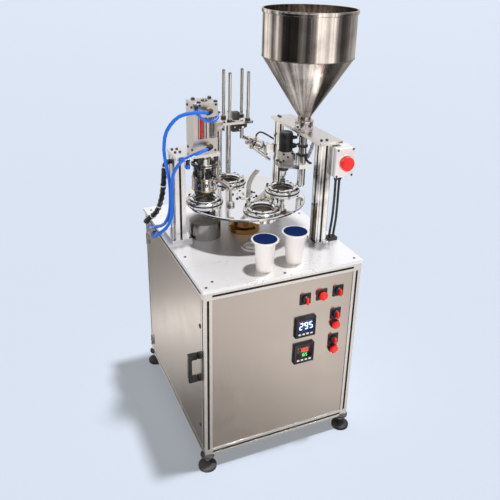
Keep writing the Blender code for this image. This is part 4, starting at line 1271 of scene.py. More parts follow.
@dataclass(frozen=True)
class Cabinet:
    """Slot strips, door handle, locks, feet and table fasteners of the cabinet."""

    half: float = 0.300
    front: float = -0.350
    back: float = 0.370
    profile: float = 0.030
    low: float = 0.060
    high: float = 0.748
    table_top: float = 0.760
    strip: float = 0.0036
    sunk: float = 0.0013
    handle: tuple[float, float, float] = (-0.276, 0.353, 0.469)

    def build(self, kit: ScrewKit) -> None:
        """Dress the cabinet."""
        self.post_strips()
        self.rail_strips()
        self.door_handle(kit)
        self.door_locks()
        self.foot_nuts(kit)
        self.table_fasteners(kit)

    def strip_block(self, low: Vector, high: Vector, way: Point) -> bpy.types.Object:
        """Model one slot strip with a shallow groove in its outer face.

        Args:
            low: Lowest corner.
            high: Highest corner.
            way: The way that its outer face looks.

        Returns:
            The strip.
        """
        piece = block(low, high)
        step_faces(piece, way, [(0.0012, -0.0008)])
        return piece

    def post_strips(self) -> None:
        """Fill the slots of the four posts."""
        strips = []
        bottom, top = self.low + self.profile + 0.001, self.high - self.profile - 0.001
        deep = self.sunk + 0.004
        for side in (-1, 1):
            for end, face, way in ((self.front, self.front, 1), (self.back, self.back, -1)):
                x = side * (self.half - self.profile / 2)
                y = sorted((face + way * self.sunk, face + way * deep))
                strips.append(self.strip_block(spot(x - self.strip, y[0], bottom),
                                               spot(x + self.strip, y[1], top), (0, -way, 0)))
                middle = end + way * self.profile / 2
                x_pair = sorted((side * (self.half - self.sunk), side * (self.half - deep)))
                strips.append(self.strip_block(spot(x_pair[0], middle - self.strip, bottom),
                                               spot(x_pair[1], middle + self.strip, top),
                                               (side, 0, 0)))
        settle(joined(strips), "post_slot_strips", "frame", SLOT_BLACK)

    def rail_strips(self) -> None:
        """Fill the slots of the upper and lower rails."""
        strips = []
        deep = self.sunk + 0.004
        inner = self.half - self.profile
        for z in (self.low + self.profile / 2, self.high - self.profile / 2):
            for face, way in ((self.front, 1), (self.back, -1)):
                y = sorted((face + way * self.sunk, face + way * deep))
                strips.append(self.strip_block(spot(-inner, y[0], z - self.strip),
                                               spot(inner, y[1], z + self.strip), (0, -way, 0)))
            for side in (-1, 1):
                x = sorted((side * (self.half - self.sunk), side * (self.half - deep)))
                strips.append(self.strip_block(
                    spot(x[0], self.front + self.profile, z - self.strip),
                    spot(x[1], self.back - self.profile, z + self.strip), (side, 0, 0)))
        settle(joined(strips), "rail_slot_strips", "frame", SLOT_BLACK)

    def door_handle(self, kit: ScrewKit) -> None:
        """Mould the upright bow handle with rounded edges and its two screws."""
        y, bottom, top = self.handle
        outer = -self.half - 0.034
        grip = block(spot(outer, y - 0.011, bottom), spot(-self.half - 0.0003, y + 0.011, top))
        cut_out(grip, block(spot(outer + 0.012, y - 0.02, bottom + 0.021),
                            spot(-self.half + 0.01, y + 0.02, top - 0.021)))
        piece = settle(grip, "bow_handle", "door", BLACK_PLASTIC, bevel=0.0042,
                       segments=4)
        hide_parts("door_handle")
        kit.place("handle_screws", "door",
                  [spot(outer, y, bottom + 0.011), spot(outer, y, top - 0.011)], LEFT,
                  0.0038, 0.0006, POLISHED, "polished_steel")

    def door_locks(self) -> None:
        """Set two quarter turn locks in the door."""
        for index, (y, z) in enumerate(((-0.304, 0.176), (-0.311, 0.603))):
            lock = turned(spot(-self.half, y, z), [(0, -0.001), (0.0085, -0.001), (0.0085, 0.0012),
                                                   (0.007, 0.0022), (0, 0.0022)], 28, Axis.LEFT)
            cut_out(lock, block(spot(-self.half - 0.004, y - 0.001, z - 0.0045),
                                spot(-self.half - 0.001, y + 0.001, z + 0.0045)))
            settle(lock, f"door_lock_{index + 1}", "door", BLACK_STEEL)

    def foot_nuts(self, kit: ScrewKit) -> None:
        """Put a lock nut on the spindle of each foot."""
        places = [spot(side * (self.half - self.profile / 2), y, 0.0295) for side in (-1, 1)
                  for y in (self.front + self.profile / 2, self.back - self.profile / 2)]
        kit.place("foot_nuts", "frame", places, UP, 0.0115, 0.007, POLISHED, "polished_steel",
                  "nut")

    def table_fasteners(self, kit: ScrewKit) -> None:
        """Sink the table screws and lay the spare cup ring on the table."""
        places = [(-0.286, -0.335), (-0.254, -0.305), (-0.281, -0.103), (-0.002, -0.339),
                  (0.280, -0.331), (-0.188, 0.105), (-0.187, 0.060), (0.285, 0.100),
                  (0.280, 0.350), (-0.280, 0.350), (0.0, 0.365)]
        kit.place("table_screws", "frame", [spot(x, y, self.table_top) for x, y in places], UP,
                  0.0048, 0.0012)
        spare = turned(spot(-0.025, -0.113, self.table_top), [(0.0270, 0.0), (0.0400, 0.0),
                       (0.0405, 0.002), (0.0385, 0.0052), (0.0295, 0.0052), (0.0270, 0.002)], 48)
        settle(spare, "spare_ring", "frame", TIE_WHITE)


@dataclass(frozen=True)
class Turntable:
    """Fasteners, seals and liners on the disc and its four cup moulds."""

    x: float = 0.010
    y: float = 0.045
    top: float = 0.900
    station: float = 0.162

    def build(self, kit: ScrewKit) -> None:
        """Dress the disc, its hub and the moulds."""
        self.centre(kit)
        self.hub(kit)
        masters = self.mould_parts(kit)
        for piece in masters:
            for index in range(1, 4):
                turn = Matrix.Rotation(math.pi / 2 * index, 4, "Z")
                pin = Matrix.Translation(spot(self.x, self.y, 0.0))
                twin = piece.copy()
                twin.data = piece.data.copy()
                twin.data.transform(pin @ turn @ pin.inverted())
                twin.name = f"{piece.name}_{index + 1}"
                bpy.context.scene.collection.objects.link(twin)
                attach(twin, "turntable")

    def centre(self, kit: ScrewKit) -> None:
        """Cap the middle of the disc and screw it to the hub."""
        cap = turned(spot(self.x, self.y, self.top), [(0, 0.0001), (0.030, 0.0001), (0.030, 0.005),
                     (0.026, 0.008), (0.012, 0.008), (0.010, 0.014), (0, 0.014)], 40)
        settle(cap, "disc_cap", "turntable", POLISHED)
        places = [spot(self.x + 0.046 * math.cos(a), self.y + 0.046 * math.sin(a), self.top)
                  for a in (math.radians(30 + 60 * k) for k in range(6))]
        kit.place("disc_screws", "turntable", places, UP, 0.0048, 0.004)

    def hub(self, kit: ScrewKit) -> None:
        """Screw the brass hub to the table through its lower flange."""
        places = [spot(self.x + 0.055 * math.cos(a), self.y + 0.055 * math.sin(a), 0.779)
                  for a in (math.radians(45 * k) for k in range(8))]
        kit.place("hub_screws", "turntable", places, UP, 0.0042, 0.004)
        # A thin black band over the hub's neck and thin black rings in its grooves: painted shade in the
        # recesses.
        groove = ring(spot(self.x, self.y, 0.0), 0.0495, 0.0506, 0.806, 0.850)
        settle(groove, "hub_sleeve", "turntable", BLACK_STEEL, bevel=0.0003)
        rims = [ring(spot(self.x, self.y, 0.0), 0.0605, 0.0624, z, z + 0.0022)
                for z in (0.8735, 0.8805)]
        settle(joined(rims), "hub_grooves", "turntable", BLACK_STEEL)

    def mould_parts(self, kit: ScrewKit) -> list[bpy.types.Object]:
        """Model the small parts of the first mould.

        Args:
            kit: The screw kit.

        Returns:
            The finished pieces, to be copied round the disc.
        """
        x, y = self.x + self.station, self.y
        centre = spot(x, y, 0.0)
        # The liner in the mould bore is dark spring steel: painted shade in the hollow.
        liner = turned(centre, [(0.0400, 0.904), (0.0378, 0.874), (0.0345, 0.874),
                                (0.0368, 0.904)], 40)
        pieces = [settle(liner, "mould_liner", "turntable", SPRING_STEEL)]
        seals = [ring(centre, 0.0578, 0.0592, 0.9121, 0.9138),
                 ring(centre, 0.0462, 0.0474, 0.9178, 0.9186),
                 ring(centre, 0.0672, 0.0688, 0.9003, 0.9028)]
        pieces.append(settle(joined(seals), "mould_seals", "turntable", RUBBER))
        circle = [math.radians(22.5 + 45 * k) for k in range(8)]
        pieces.append(kit.place(
            "mould_screws", "turntable",
            [spot(x + 0.0518 * math.cos(a), y + 0.0518 * math.sin(a), 0.918) for a in circle],
            UP, 0.0030, 0.0016))
        clamps = [math.radians(45 + 90 * k) for k in range(4)]
        knobs = []
        for a in clamps:
            knob = turned(spot(x + 0.0618 * math.cos(a), y + 0.0618 * math.sin(a), 0.9121),
                          [(0, 0), (0.0058, 0), (0.0058, 0.0045), (0.0048, 0.006),
                           (0.0026, 0.006), (0.0022, 0.0038), (0, 0.0036)], 16)
            knobs.append(knob)
        pieces.append(settle(joined(knobs), "mould_knobs", "turntable", BLACK_STEEL))
        pins = [turned(spot(x + 0.0618 * math.cos(a + 0.8), y + 0.0618 * math.sin(a + 0.8),
                            0.9121), [(0, 0), (0.0035, 0), (0.0035, 0.007), (0.0025, 0.008),
                                      (0, 0.008)], 16) for a in clamps]
        pieces.append(settle(joined(pins), "mould_pins", "turntable", POLISHED))
        return pieces


@dataclass(frozen=True)
class SealingStation:
    """Head, springs, cylinder fittings and the cup sensor at the sealing station."""

    x: float = -0.152
    y: float = 0.045
    heater_low: float = 0.951
    heater_top: float = 1.001
    plate_low: float = 1.045
    plate_top: float = 1.057
    shelf_low: float = 1.085
    head_top: float = 1.2813
    barrel: float = 0.034

    def build(self, kit: ScrewKit) -> None:
        """Dress the whole station."""
        self.heater(kit)
        self.springs(kit)
        self.guides(kit)
        self.cylinder_top(kit)
        self.ports()
        self.flow_knob()
        self.sensor(kit)

    def round_places(self, radius: float, count: int, z: float, start: float = 0.0,
                     ) -> list[Vector]:
        """Return places on a circle round the station's axis.

        Args:
            radius: Radius of the circle.
            count: How many places.
            z: Their height.
            start: Angle of the first, in degrees.

        Returns:
            The places.
        """
        turns = [math.radians(start + 360 * k / count) for k in range(count)]
        return [spot(self.x + radius * math.cos(a), self.y + radius * math.sin(a), z)
                for a in turns]

    def heater(self, kit: ScrewKit) -> None:
        """Add the brass band, the toothed cutting ring and the sensor screws."""
        centre = spot(self.x, self.y, 0.0)
        bands = [ring(centre, 0.0468, 0.0482, self.heater_low + 0.001, self.heater_low + 0.006),
                 ring(centre, 0.0466, 0.0476, self.heater_top - 0.007, self.heater_top - 0.004)]
        settle(joined(bands), "heater_band", "sealing_head", BRIGHT_BRASS,
               bevel=0.0004)
        carrier = ring(centre, 0.030, 0.0375, 0.941, self.heater_low + 0.0055)
        settle(carrier, "cutting_ring", "sealing_head", BLACK_STEEL)
        master = block(spot(self.x + 0.0345, self.y - 0.0028, 0.9395),
                       spot(self.x + 0.0400, self.y + 0.0028, self.heater_low - 0.0002))
        teeth = [master]
        pin = Matrix.Translation(spot(self.x, self.y, 0.0))
        for index in range(1, 16):
            twin = master.copy()
            twin.data = master.data.copy()
            bpy.context.scene.collection.objects.link(twin)
            twin.matrix_world = (pin @ Matrix.Rotation(math.tau * index / 16, 4, "Z")
                                 @ pin.inverted() @ master.matrix_world)
            teeth.append(twin)
        settle(joined(teeth), "cutting_teeth", "sealing_head", BLACK_STEEL,
               bevel=0.0009)
        ways, places = [], []
        for angle in (225, 258, 292, 325):
            a = math.radians(angle)
            ways.append((math.cos(a), math.sin(a), 0.0))
            places.append(spot(self.x + 0.0468 * math.cos(a), self.y + 0.0468 * math.sin(a),
                               0.978))
        kit.place("heater_screws", "sealing_head", places, ways, 0.0062, 0.003)
        kit.place("heater_plugs", "sealing_head",
                  [p + 0.0028 * Vector(w) for p, w in zip(places, ways)], ways, 0.0026, 0.0012,
                  POLISHED, "polished_steel")

    def springs(self, kit: ScrewKit) -> None:
        """Wind a spring on each pillar between black bushes and add the black fasteners on the plate."""
        coils, bushes = [], []
        low, high = self.heater_top + 0.008, self.plate_low - 0.006
        for place in self.round_places(0.036, 4, 0.0, 45.0):
            steps = 72
            points = []
            for k in range(steps + 1):
                a = math.tau * 4.5 * k / steps
                points.append((place.x + 0.0088 * math.cos(a), place.y + 0.0088 * math.sin(a),
                               low + (high - low) * k / steps))
            coils.append(tube("coil", points, 0.0016, "sealing_head", SPRING_STEEL,
                              steps=1))
            for bottom in (self.heater_top + 0.0003, self.plate_low - 0.008):
                bushes.append(ring(place, 0.0063, 0.0112, bottom, bottom + 0.0076, 20))
        settle(joined(coils), "head_springs", "sealing_head", SPRING_STEEL)
        settle(joined(bushes), "spring_bushes", "sealing_head", BLACK_PLASTIC,
               bevel=0.0006)
        kit.place("plate_nuts", "sealing_head",
                  self.round_places(0.036, 4, self.plate_top, 45.0), UP, 0.0085, 0.006)
        blocks = []
        for place in self.round_places(0.033, 4, 0.0, 0.0):
            pillar = turned(place, [(0, 1.0013), (0.0075, 1.0013), (0.0075, 1.012),
                                    (0.0045, 1.015), (0.0045, 1.030), (0.0075, 1.033),
                                    (0.0075, 1.0447), (0, 1.0447)], 20)
            blocks.append(pillar)
        settle(joined(blocks), "insulators", "sealing_head", BLACK_PLASTIC,
               bevel=0.0004)
        kit.place("insulator_screws", "sealing_head",
                  self.round_places(0.0425, 8, 1.0013, 22.5), UP, 0.0034, 0.005, POLISHED,
                  "polished_steel")
        rims = ring(spot(self.x, self.y, 0.0), 0.0496, 0.0506, self.plate_low + 0.004,
                    self.plate_low + 0.0085)
        settle(rims, "plate_band", "sealing_head", BLACK_STEEL)

    def guides(self, kit: ScrewKit) -> None:
        """Hang four dark guide bushes and the rod gland under the shelf, and add the shelf screws."""
        bushes = []
        for place in (spot(self.x + sx * 0.034, self.y + sy * 0.0315, 0.0)
                      for sx in (-1, 1) for sy in (-1, 1)):
            bushes.append(turned(place, [(0, 1.064), (0.0062, 1.064), (0.0075, 1.067),
                                         (0.0075, 1.074), (0.0105, 1.076), (0.0105, 1.0847),
                                         (0, 1.0847)], 20))
        settle(joined(bushes), "guide_bushes", "frame", BLACK_STEEL,
               bevel=0.0004)
        collar = ring(spot(self.x, self.y, 0.0), 0.0125, 0.0215, 1.0775, 1.0847)
        settle(collar, "rod_gland", "frame", MACHINED, bevel=0.0008)
        kit.place("shelf_screws", "frame",
                  [spot(-0.258, 0.060, 1.097), spot(-0.258, 0.098, 1.097),
                   spot(-0.240, 0.060, 1.097), spot(-0.240, 0.098, 1.097)], UP, 0.005, 0.004)
        kit.place("cylinder_base_screws", "frame",
                  [spot(self.x + sx * 0.028, 0.0075, 1.108) for sx in (-1, 1)], FRONT, 0.0042,
                  0.0012)

    def cylinder_top(self, kit: ScrewKit) -> None:
        """Put tie rod nuts, a cushion screw, bolts and the red stripe on the cylinder."""
        corners = [spot(self.x + sx * 0.031, self.y + sy * 0.031, self.head_top)
                   for sx in (-1, 1) for sy in (-1, 1)]
        kit.place("tie_nuts", "frame", corners, UP, 0.0075, 0.0045, kind="nut")
        kit.place("head_bolts", "frame",
                  [spot(self.x + dx, self.y - 0.0375, self.head_top - dz)
                   for dx, dz in ((-0.030, 0.008), (-0.030, 0.044), (0.030, 0.008))], FRONT,
                  0.0045, 0.0014)
        kit.place("side_bolts", "frame",
                  [spot(-0.2065, y, z) for y in (0.022, 0.068) for z in (1.112, 1.266)], LEFT,
                  0.005, 0.0025)
        plug = turned(spot(self.x, self.y, self.head_top),
                      [(0, 0), (0.012, 0), (0.012, 0.002), (0.009, 0.0045), (0, 0.0045)], 28)
        settle(plug, "cylinder_plug", "frame", BLACK_STEEL)
        a = math.radians(231)
        reach = self.barrel + 0.0002
        stripe = block((-0.0007, -0.0048, 0.0), (0.0007, 0.0048, 0.0766))
        stripe.location = spot(self.x + reach * math.cos(a), self.y + reach * math.sin(a), 1.1912)
        stripe.rotation_euler = (0.0, 0.0, a)
        settle(stripe, "stroke_stripe", "frame", RED_PLASTIC, bevel=0.0005)
        rails = []
        for angle in (205, 262, 330):
            t = math.radians(angle)
            rail = block((-0.0012, -0.0022, 0.0), (0.0012, 0.0022, 0.0766))
            rail.location = spot(self.x + reach * math.cos(t), self.y + reach * math.sin(t),
                                 1.1912)
            rail.rotation_euler = (0.0, 0.0, t)
            rails.append(rail)
        settle(joined(rails), "sensor_rails", "frame", BLACK_STEEL, bevel=0.0006)

    def ports(self) -> None:
        """Screw a brass nipple and a black elbow to each air port, and loop a short hose."""
        port = self.x + 0.005
        for index, z in enumerate((1.2553, 1.1273)):
            nipple = turned(spot(port, self.y - 0.0375, z),
                            [(0.0067, 0.0), (0.0100, 0.0), (0.0100, 0.005), (0.0082, 0.006),
                             (0.0082, 0.010), (0.0067, 0.010)], 24, Axis.FRONT)
            settle(nipple, f"port_nipple_{index + 1}", "frame", BRIGHT_BRASS)
            face = self.y - 0.0375
            tube(f"port_elbow_{index + 1}",
                 [spot(port, face - 0.0105, z), spot(port, face - 0.018, z),
                  spot(port - 0.010, face - 0.031, z), spot(port - 0.020, face - 0.0385, z)],
                 0.0086, "frame", BLACK_PLASTIC)
        tube("cylinder_loop",
             [spot(-0.196, -0.002, 1.268), spot(-0.190, -0.004, 1.246),
              spot(-0.172, -0.006, 1.226), spot(-0.148, -0.007, 1.219),
              spot(-0.124, -0.002, 1.222), spot(-0.112, 0.012, 1.234),
              spot(-0.113, 0.030, 1.240)], 0.0045, "frame", HOSE_BLUE)
        elbow = turned(spot(-0.1142, 0.030, 1.240), [(0, 0), (0.0065, 0), (0.0065, 0.006),
                       (0.005, 0.009), (0, 0.009)], 20, Axis.RIGHT)
        settle(elbow, "loop_elbow", "frame", BLACK_PLASTIC)
        stub = turned(spot(-0.196, 0.0072, 1.270), [(0, 0), (0.0065, 0), (0.0065, 0.012),
                      (0, 0.013)], 20, Axis.FRONT)
        settle(stub, "loop_stub", "frame", BLACK_PLASTIC)

    def flow_knob(self) -> None:
        """Hang the flow control valve with its blue knob under the shelf."""
        body = turned(spot(-0.222, 0.028, 0.0), [(0, 1.058), (0.0075, 1.058), (0.0075, 1.070),
                      (0.0095, 1.072), (0.0095, 1.0847), (0, 1.0847)], 24)
        settle(body, "flow_valve", "frame", BLACK_PLASTIC, bevel=0.0004)
        knob = cylinder(spot(-0.222, 0.028, 1.050), 0.0088, 0.015, Axis.UP, 12)
        step_faces(knob, DOWN, [(0.002, 0.002)])
        settle(knob, "flow_knob", "frame", HOSE_BLUE, bevel=0.0008)

    def sensor(self, kit: ScrewKit) -> None:
        """Hang the cup sensor on an arm from the shelf's corner."""
        hanger = turned(spot(-0.1115, 0.0075, 0.0), [(0, 0.986), (0.0034, 0.986),
                        (0.0034, 1.0847), (0, 1.0847)], 16)
        settle(hanger, "sensor_hanger", "frame", POLISHED)
        arm = block((-0.0085, -0.056, -0.006), (0.0085, 0.056, 0.006))
        arm.location = spot(-0.108, -0.045, 0.996)
        arm.rotation_euler = (0.0, 0.0, math.radians(3.6))
        settle(arm, "sensor_arm", "frame", MACHINED, bevel=0.0015)
        kit.place("sensor_screws", "frame",
                  [spot(-0.105, -0.094, 1.002), spot(-0.1095, -0.020, 1.002)], UP, 0.0045,
                  0.0035)
        stem = turned(spot(-0.105, -0.0945, 0.0), [(0, 0.930), (0.0058, 0.930),
                      (0.0058, 0.9898), (0, 0.9898)], 20)
        settle(stem, "sensor_stem", "frame", POLISHED)
        foot = turned(spot(-0.105, -0.0945, 0.0), [(0, 0.9215), (0.0150, 0.9215),
                      (0.0150, 0.938), (0.0125, 0.944), (0.0062, 0.944), (0.0062, 0.9302),
                      (0, 0.9302)], 28)
        settle(foot, "sensor_foot", "frame", MACHINED)
        kit.place("sensor_foot_screws", "frame",
                  [spot(-0.105 + 0.0150 * math.cos(t), -0.0945 + 0.0150 * math.sin(t), 0.930)
                   for t in (math.radians(v) for v in (210, 250, 290))],
                  [(math.cos(t), math.sin(t), 0.0) for t in
                   (math.radians(v) for v in (210, 250, 290))], 0.0030, 0.001)


@dataclass(frozen=True)
class LidStation:
    """Collars, follower, bracket and arm fittings at the lid station."""

    x: float = 0.033
    y: float = 0.200
    plate_low: float = 1.150
    plate_top: float = 1.160
    pivot: Point = (0.178, 0.226, 1.025)

    def build(self, kit: ScrewKit) -> None:
        """Dress the magazine, its tower and the arm."""
        self.magazine(kit)
        self.tower(kit)
        self.arm(kit)

    def magazine(self, kit: ScrewKit) -> None:
        """Add rod collars, the lid follower and the mechanism under the plate."""
        rods = [(self.x + sx * 0.038, self.y + sy * 0.032) for sx in (-1, 1) for sy in (-1, 1)]
        collars = [ring(spot(x, y, 0.0), 0.0066, 0.0105, self.plate_top + 0.0001,
                        self.plate_top + 0.008, 20) for x, y in rods]
        settle(joined(collars), "rod_collars", "frame", BLACK_STEEL,
               bevel=0.0006)
        tips = [turned(spot(x, y, 1.345), [(0.0, 0.0), (0.0060, 0.0), (0.0045, 0.003),
                                           (0, 0.003)], 16) for x, y in rods]
        settle(joined(tips), "rod_tips", "frame", BLACK_STEEL)
        disc = turned(spot(self.x, self.y, self.plate_top),
                      [(0, 0.0002), (0.0335, 0.0002), (0.0335, 0.002), (0.031, 0.003),
                       (0, 0.003)], 40)
        settle(disc, "lid_follower", "frame", POLISHED)
        weight = block(spot(self.x - 0.0125, self.y - 0.0125, self.plate_top + 0.003),
                       spot(self.x + 0.0125, self.y + 0.0125, self.plate_top + 0.029))
        step_faces(weight, UP, [(0.004, -0.002)])
        settle(weight, "follower_weight", "frame", BLACK_STEEL, bevel=0.0012)
        box_low = block(spot(self.x - 0.032, self.y - 0.050, self.plate_low - 0.027),
                        spot(self.x + 0.004, self.y - 0.030, self.plate_low - 0.0003))
        step_faces(box_low, FRONT, [(0.004, 0.002), (0.003, -0.001)])
        settle(box_low, "lid_sensor", "frame", BLACK_PLASTIC, bevel=0.0012)
        kit.place("lid_sensor_screws", "frame",
                  [spot(self.x - 0.024, self.y - 0.052, self.plate_low - 0.008),
                   spot(self.x - 0.004, self.y - 0.052, self.plate_low - 0.019)], FRONT, 0.003,
                  0.002, POLISHED, "polished_steel")
        kit.place("magazine_screws", "frame",
                  [spot(self.x + dx, self.y + dy, self.plate_top) for dx, dy in
                   ((-0.060, -0.035), (-0.060, 0.035), (0.050, 0.0), (-0.023, 0.116),
                    (0.017, 0.116))], UP, 0.0042, 0.003)

    def tower(self, kit: ScrewKit) -> None:
        """Clamp the bracket to the plate and screw the tower's foot down."""
        bracket = block(spot(-0.066, 0.203, self.plate_low - 0.036),
                        spot(-0.010, 0.243, self.plate_low - 0.0003))
        step_faces(bracket, FRONT, [(0.006, -0.004)])
        settle(bracket, "magazine_bracket", "frame", MACHINED, bevel=0.0015)
        kit.place("bracket_screws", "frame",
                  [spot(-0.058, 0.203, self.plate_low - 0.008),
                   spot(-0.018, 0.203, self.plate_low - 0.028)], FRONT, 0.0040, 0.003)
        kit.place("tower_screws", "frame",
                  [spot(x, y, 0.772) for x in (-0.022, 0.072) for y in (0.298, 0.336)], UP,
                  0.0045, 0.004)
        clamps = []
        for x in (0.010, 0.050):
            clamps.append(ring(spot(x, 0.316, 0.0), 0.0111, 0.0165, 1.138, 1.1496, 28))
            clamps.append(ring(spot(x, 0.316, 0.0), 0.0111, 0.0165, 0.7722, 0.784, 28))
        settle(joined(clamps), "tower_collars", "frame", BLACK_STEEL,
               bevel=0.0008)

    def arm(self, kit: ScrewKit) -> None:
        """Cap the arm's tube and add its bolts, fittings and cable."""
        px, py, pz = self.pivot
        upper = Vector((px - 0.072, py, pz + 0.032))
        lower = Vector((px + 0.018, py, pz - 0.008))
        along = (upper - lower).normalized()
        for name, end, way in (("arm_head", upper, along), ("arm_tail", lower, -along)):
            cap = turned(spot(*end), [(0, 0.0002), (0.0182, 0.0002), (0.0182, 0.009),
                                      (0.0145, 0.012), (0, 0.012)], 32)
            settle(aimed(cap, way), name, "pick_up_arm", POLISHED)
        bands = []
        for k in (0.016, 0.040, 0.078):
            band = ring(spot(*(lower + along * k)), 0.0174, 0.0184, -0.0018, 0.0018, 32)
            bands.append(aimed(band, along))
        settle(joined(bands), "arm_bands", "pick_up_arm", BLACK_STEEL)
        kit.place("arm_bolts", "pick_up_arm",
                  [spot(*(upper - along * k + Vector((0, -0.0172, dz)))) for k, dz in
                   ((0.006, 0.004), (0.020, 0.003), (0.012, -0.008))], FRONT, 0.0042, 0.004)
        nipples = []
        for start, way in ((upper - along * 0.03 + Vector((0, -0.004, 0.0168)), UP),
                           (lower + along * 0.012 + Vector((0, -0.002, -0.0185)), DOWN),
                           (lower - along * 0.011, tuple(-along))):
            nipple = turned(spot(*start), [(0, 0), (0.0058, 0), (0.0058, 0.006), (0.0042, 0.007),
                                           (0.0042, 0.013), (0, 0.013)], 16)
            nipples.append(aimed(nipple, way))
        settle(joined(nipples), "arm_nipples", "pick_up_arm", BRIGHT_BRASS)
        start = upper - along * 0.03 + Vector((0, -0.004, 0.029))
        end = lower - along * 0.023
        tube("arm_cable",
             [spot(*start), spot(*(start + Vector((0.006, 0.001, 0.010)))),
              spot(*(start + Vector((0.030, 0.002, 0.012)))),
              spot(*(end + Vector((0.012, 0.0, 0.034)))),
              spot(*(end + Vector((0.014, 0.0, 0.008)))), spot(*end)], 0.0034, "pick_up_arm",
             CABLE_BLACK)
        pad = turned(spot(px - 0.118, self.y, self.plate_low - 0.0158),
                     [(0, 0), (0.0205, 0), (0.0215, 0.0012), (0.0205, 0.003), (0.014, 0.003),
                      (0.012, 0.0015), (0, 0.0015)], 32)
        settle(pad, "suction_pad", "pick_up_arm", RUBBER)


@dataclass(frozen=True)
class FillingStation:
    """Hopper trim, valve, hoses and column fittings at the filling station."""

    x: float = 0.228
    y: float = 0.0
    slab_low: float = 1.145
    slab_top: float = 1.157
    rim: float = 1.5883
    radius: float = 0.167
    valve: Point = (0.179, 0.045, 1.0626)

    def build(self, kit: ScrewKit) -> None:
        """Dress the whole station."""
        self.hopper(kit)
        self.bridge(kit)
        self.actuator(kit)
        self.lines(kit)
        self.columns(kit)

    def hopper(self, kit: ScrewKit) -> None:
        """Weld the seam, roll the rim and bolt the collar."""
        centre = spot(self.x, self.y, 0.0)
        beads = [turned(centre, [(0.1706, 1.5755), (0.1712, 1.578), (0.1712, 1.585),
                                 (0.1700, 1.5881), (0.1652, 1.5882), (0.1652, 1.5755)], 64)]
        settle(joined(beads), "rolled_rim", "frame", HOPPER_STEEL)
        weld = ring(centre, self.radius + 0.0001, self.radius + 0.0007, 1.4243, 1.4265, 64)
        settle(weld, "cone_weld", "frame", SPRING_STEEL, bevel=0.0002)
        a = math.radians(243)
        seam = block((-0.0003, -0.0012, 0.0), (0.0006, 0.0012, 0.148))
        seam.location = spot(self.x + self.radius * math.cos(a),
                             self.y + self.radius * math.sin(a), 1.500)
        seam.rotation_euler = (0.0, 0.0, a)
        settle(seam, "barrel_seam", "frame", SPRING_STEEL, bevel=0.0003)
        bands = [ring(centre, 0.0341, 0.0362, 1.1578, 1.1612, 40),
                 ring(centre, 0.0341, 0.0356, 1.1855, 1.1895, 40)]
        settle(joined(bands), "collar_bands", "frame", POLISHED, bevel=0.0006)
        ear = block(spot(self.x - 0.046, self.y - 0.024, 1.1650),
                    spot(self.x - 0.028, self.y - 0.012, 1.1810))
        settle(ear, "collar_ear", "frame", POLISHED, bevel=0.0015)
        kit.place("collar_bolts", "frame",
                  [spot(self.x - 0.040, self.y - 0.024, 1.173),
                   spot(self.x + 0.006, self.y - 0.0340, 1.173)], FRONT, 0.0048, 0.005)

    def bridge(self, kit: ScrewKit) -> None:
        """Round off the front end of the bridge plate and add its screws."""
        end = block(spot(0.1932, -0.1905, self.slab_low + 0.0003),
                    spot(0.2828, -0.1882, self.slab_top - 0.0003))
        settle(end, "bridge_end", "frame", POLISHED, bevel=0.0011, segments=3)
        kit.place("bridge_screws", "frame",
                  [spot(x, y, self.slab_top) for x, y in
                   ((0.2115, -0.163), (0.2335, -0.163), (0.220, 0.183), (0.220, 0.197))], UP,
                  0.0055, 0.004)

    def actuator(self, kit: ScrewKit) -> None:
        """Replace the plain actuator by a ribbed one, with its plugs and its screws."""
        x, y, z = self.valve
        profile = [(0, 0)]
        height = 0.0
        while height < 0.062:
            profile += [(0.0268, height), (0.0268, height + 0.0042), (0.0248, height + 0.0048),
                        (0.0248, height + 0.0066)]
            height += 0.0070
        profile += [(0.0268, height), (0.0268, height + 0.003), (0.023, 0.074), (0, 0.074)]
        ribbed = settle(turned(spot(x, y, z), profile, 40), "ribbed_actuator", "frame",
                        BLACK_PLASTIC)
        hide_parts("valve_actuator")
        plugs = []
        for angle, low in ((-20, 0.052), (-42, 0.026), (-8, 0.014)):
            a = math.radians(angle)
            plug = turned(spot(x + 0.025 * math.cos(a), y + 0.025 * math.sin(a), z + low),
                          [(0, 0), (0.0075, 0), (0.0075, 0.010), (0.0055, 0.012),
                           (0.0055, 0.018), (0, 0.018)], 20)
            plugs.append(aimed(plug, (math.cos(a), math.sin(a), 0.0)))
        settle(joined(plugs), "actuator_plugs", "frame", BLACK_PLASTIC)
        kit.place("valve_screws", "frame",
                  [spot(x + dx, y - 0.021, z - dz) for dx, dz in
                   ((-0.018, 0.008), (0.018, 0.008), (-0.018, 0.034), (0.0, 0.021))], FRONT,
                  0.0040, 0.003)
        pot = turned(spot(x + 0.0325, y - 0.020, 1.0202),
                     [(0, 0.0001), (0.0095, 0.0001), (0.0095, 0.030), (0.0078, 0.036),
                      (0, 0.036)], 28)
        settle(pot, "check_valve", "frame", POLISHED)
        kit.place("fill_arm_screws", "frame",
                  [spot(px, py, 1.020) for px, py in ((0.151, 0.033), (0.151, 0.060),
                                                      (0.196, 0.062))], UP, 0.0045, 0.004)
        drip = ring(spot(0.172, 0.045, 0.0), 0.0132, 0.0205, 0.985, 0.996, 32)
        settle(drip, "nozzle_nut", "frame", BLACK_STEEL, bevel=0.0008)
        rings = [ring(spot(0.172, 0.045, 0.0), 0.0082, 0.0104, z, z + 0.003, 28)
                 for z in (0.929, 0.936, 0.943)]
        settle(joined(rings), "nozzle_rings", "frame", BLACK_STEEL,
               bevel=0.0004)

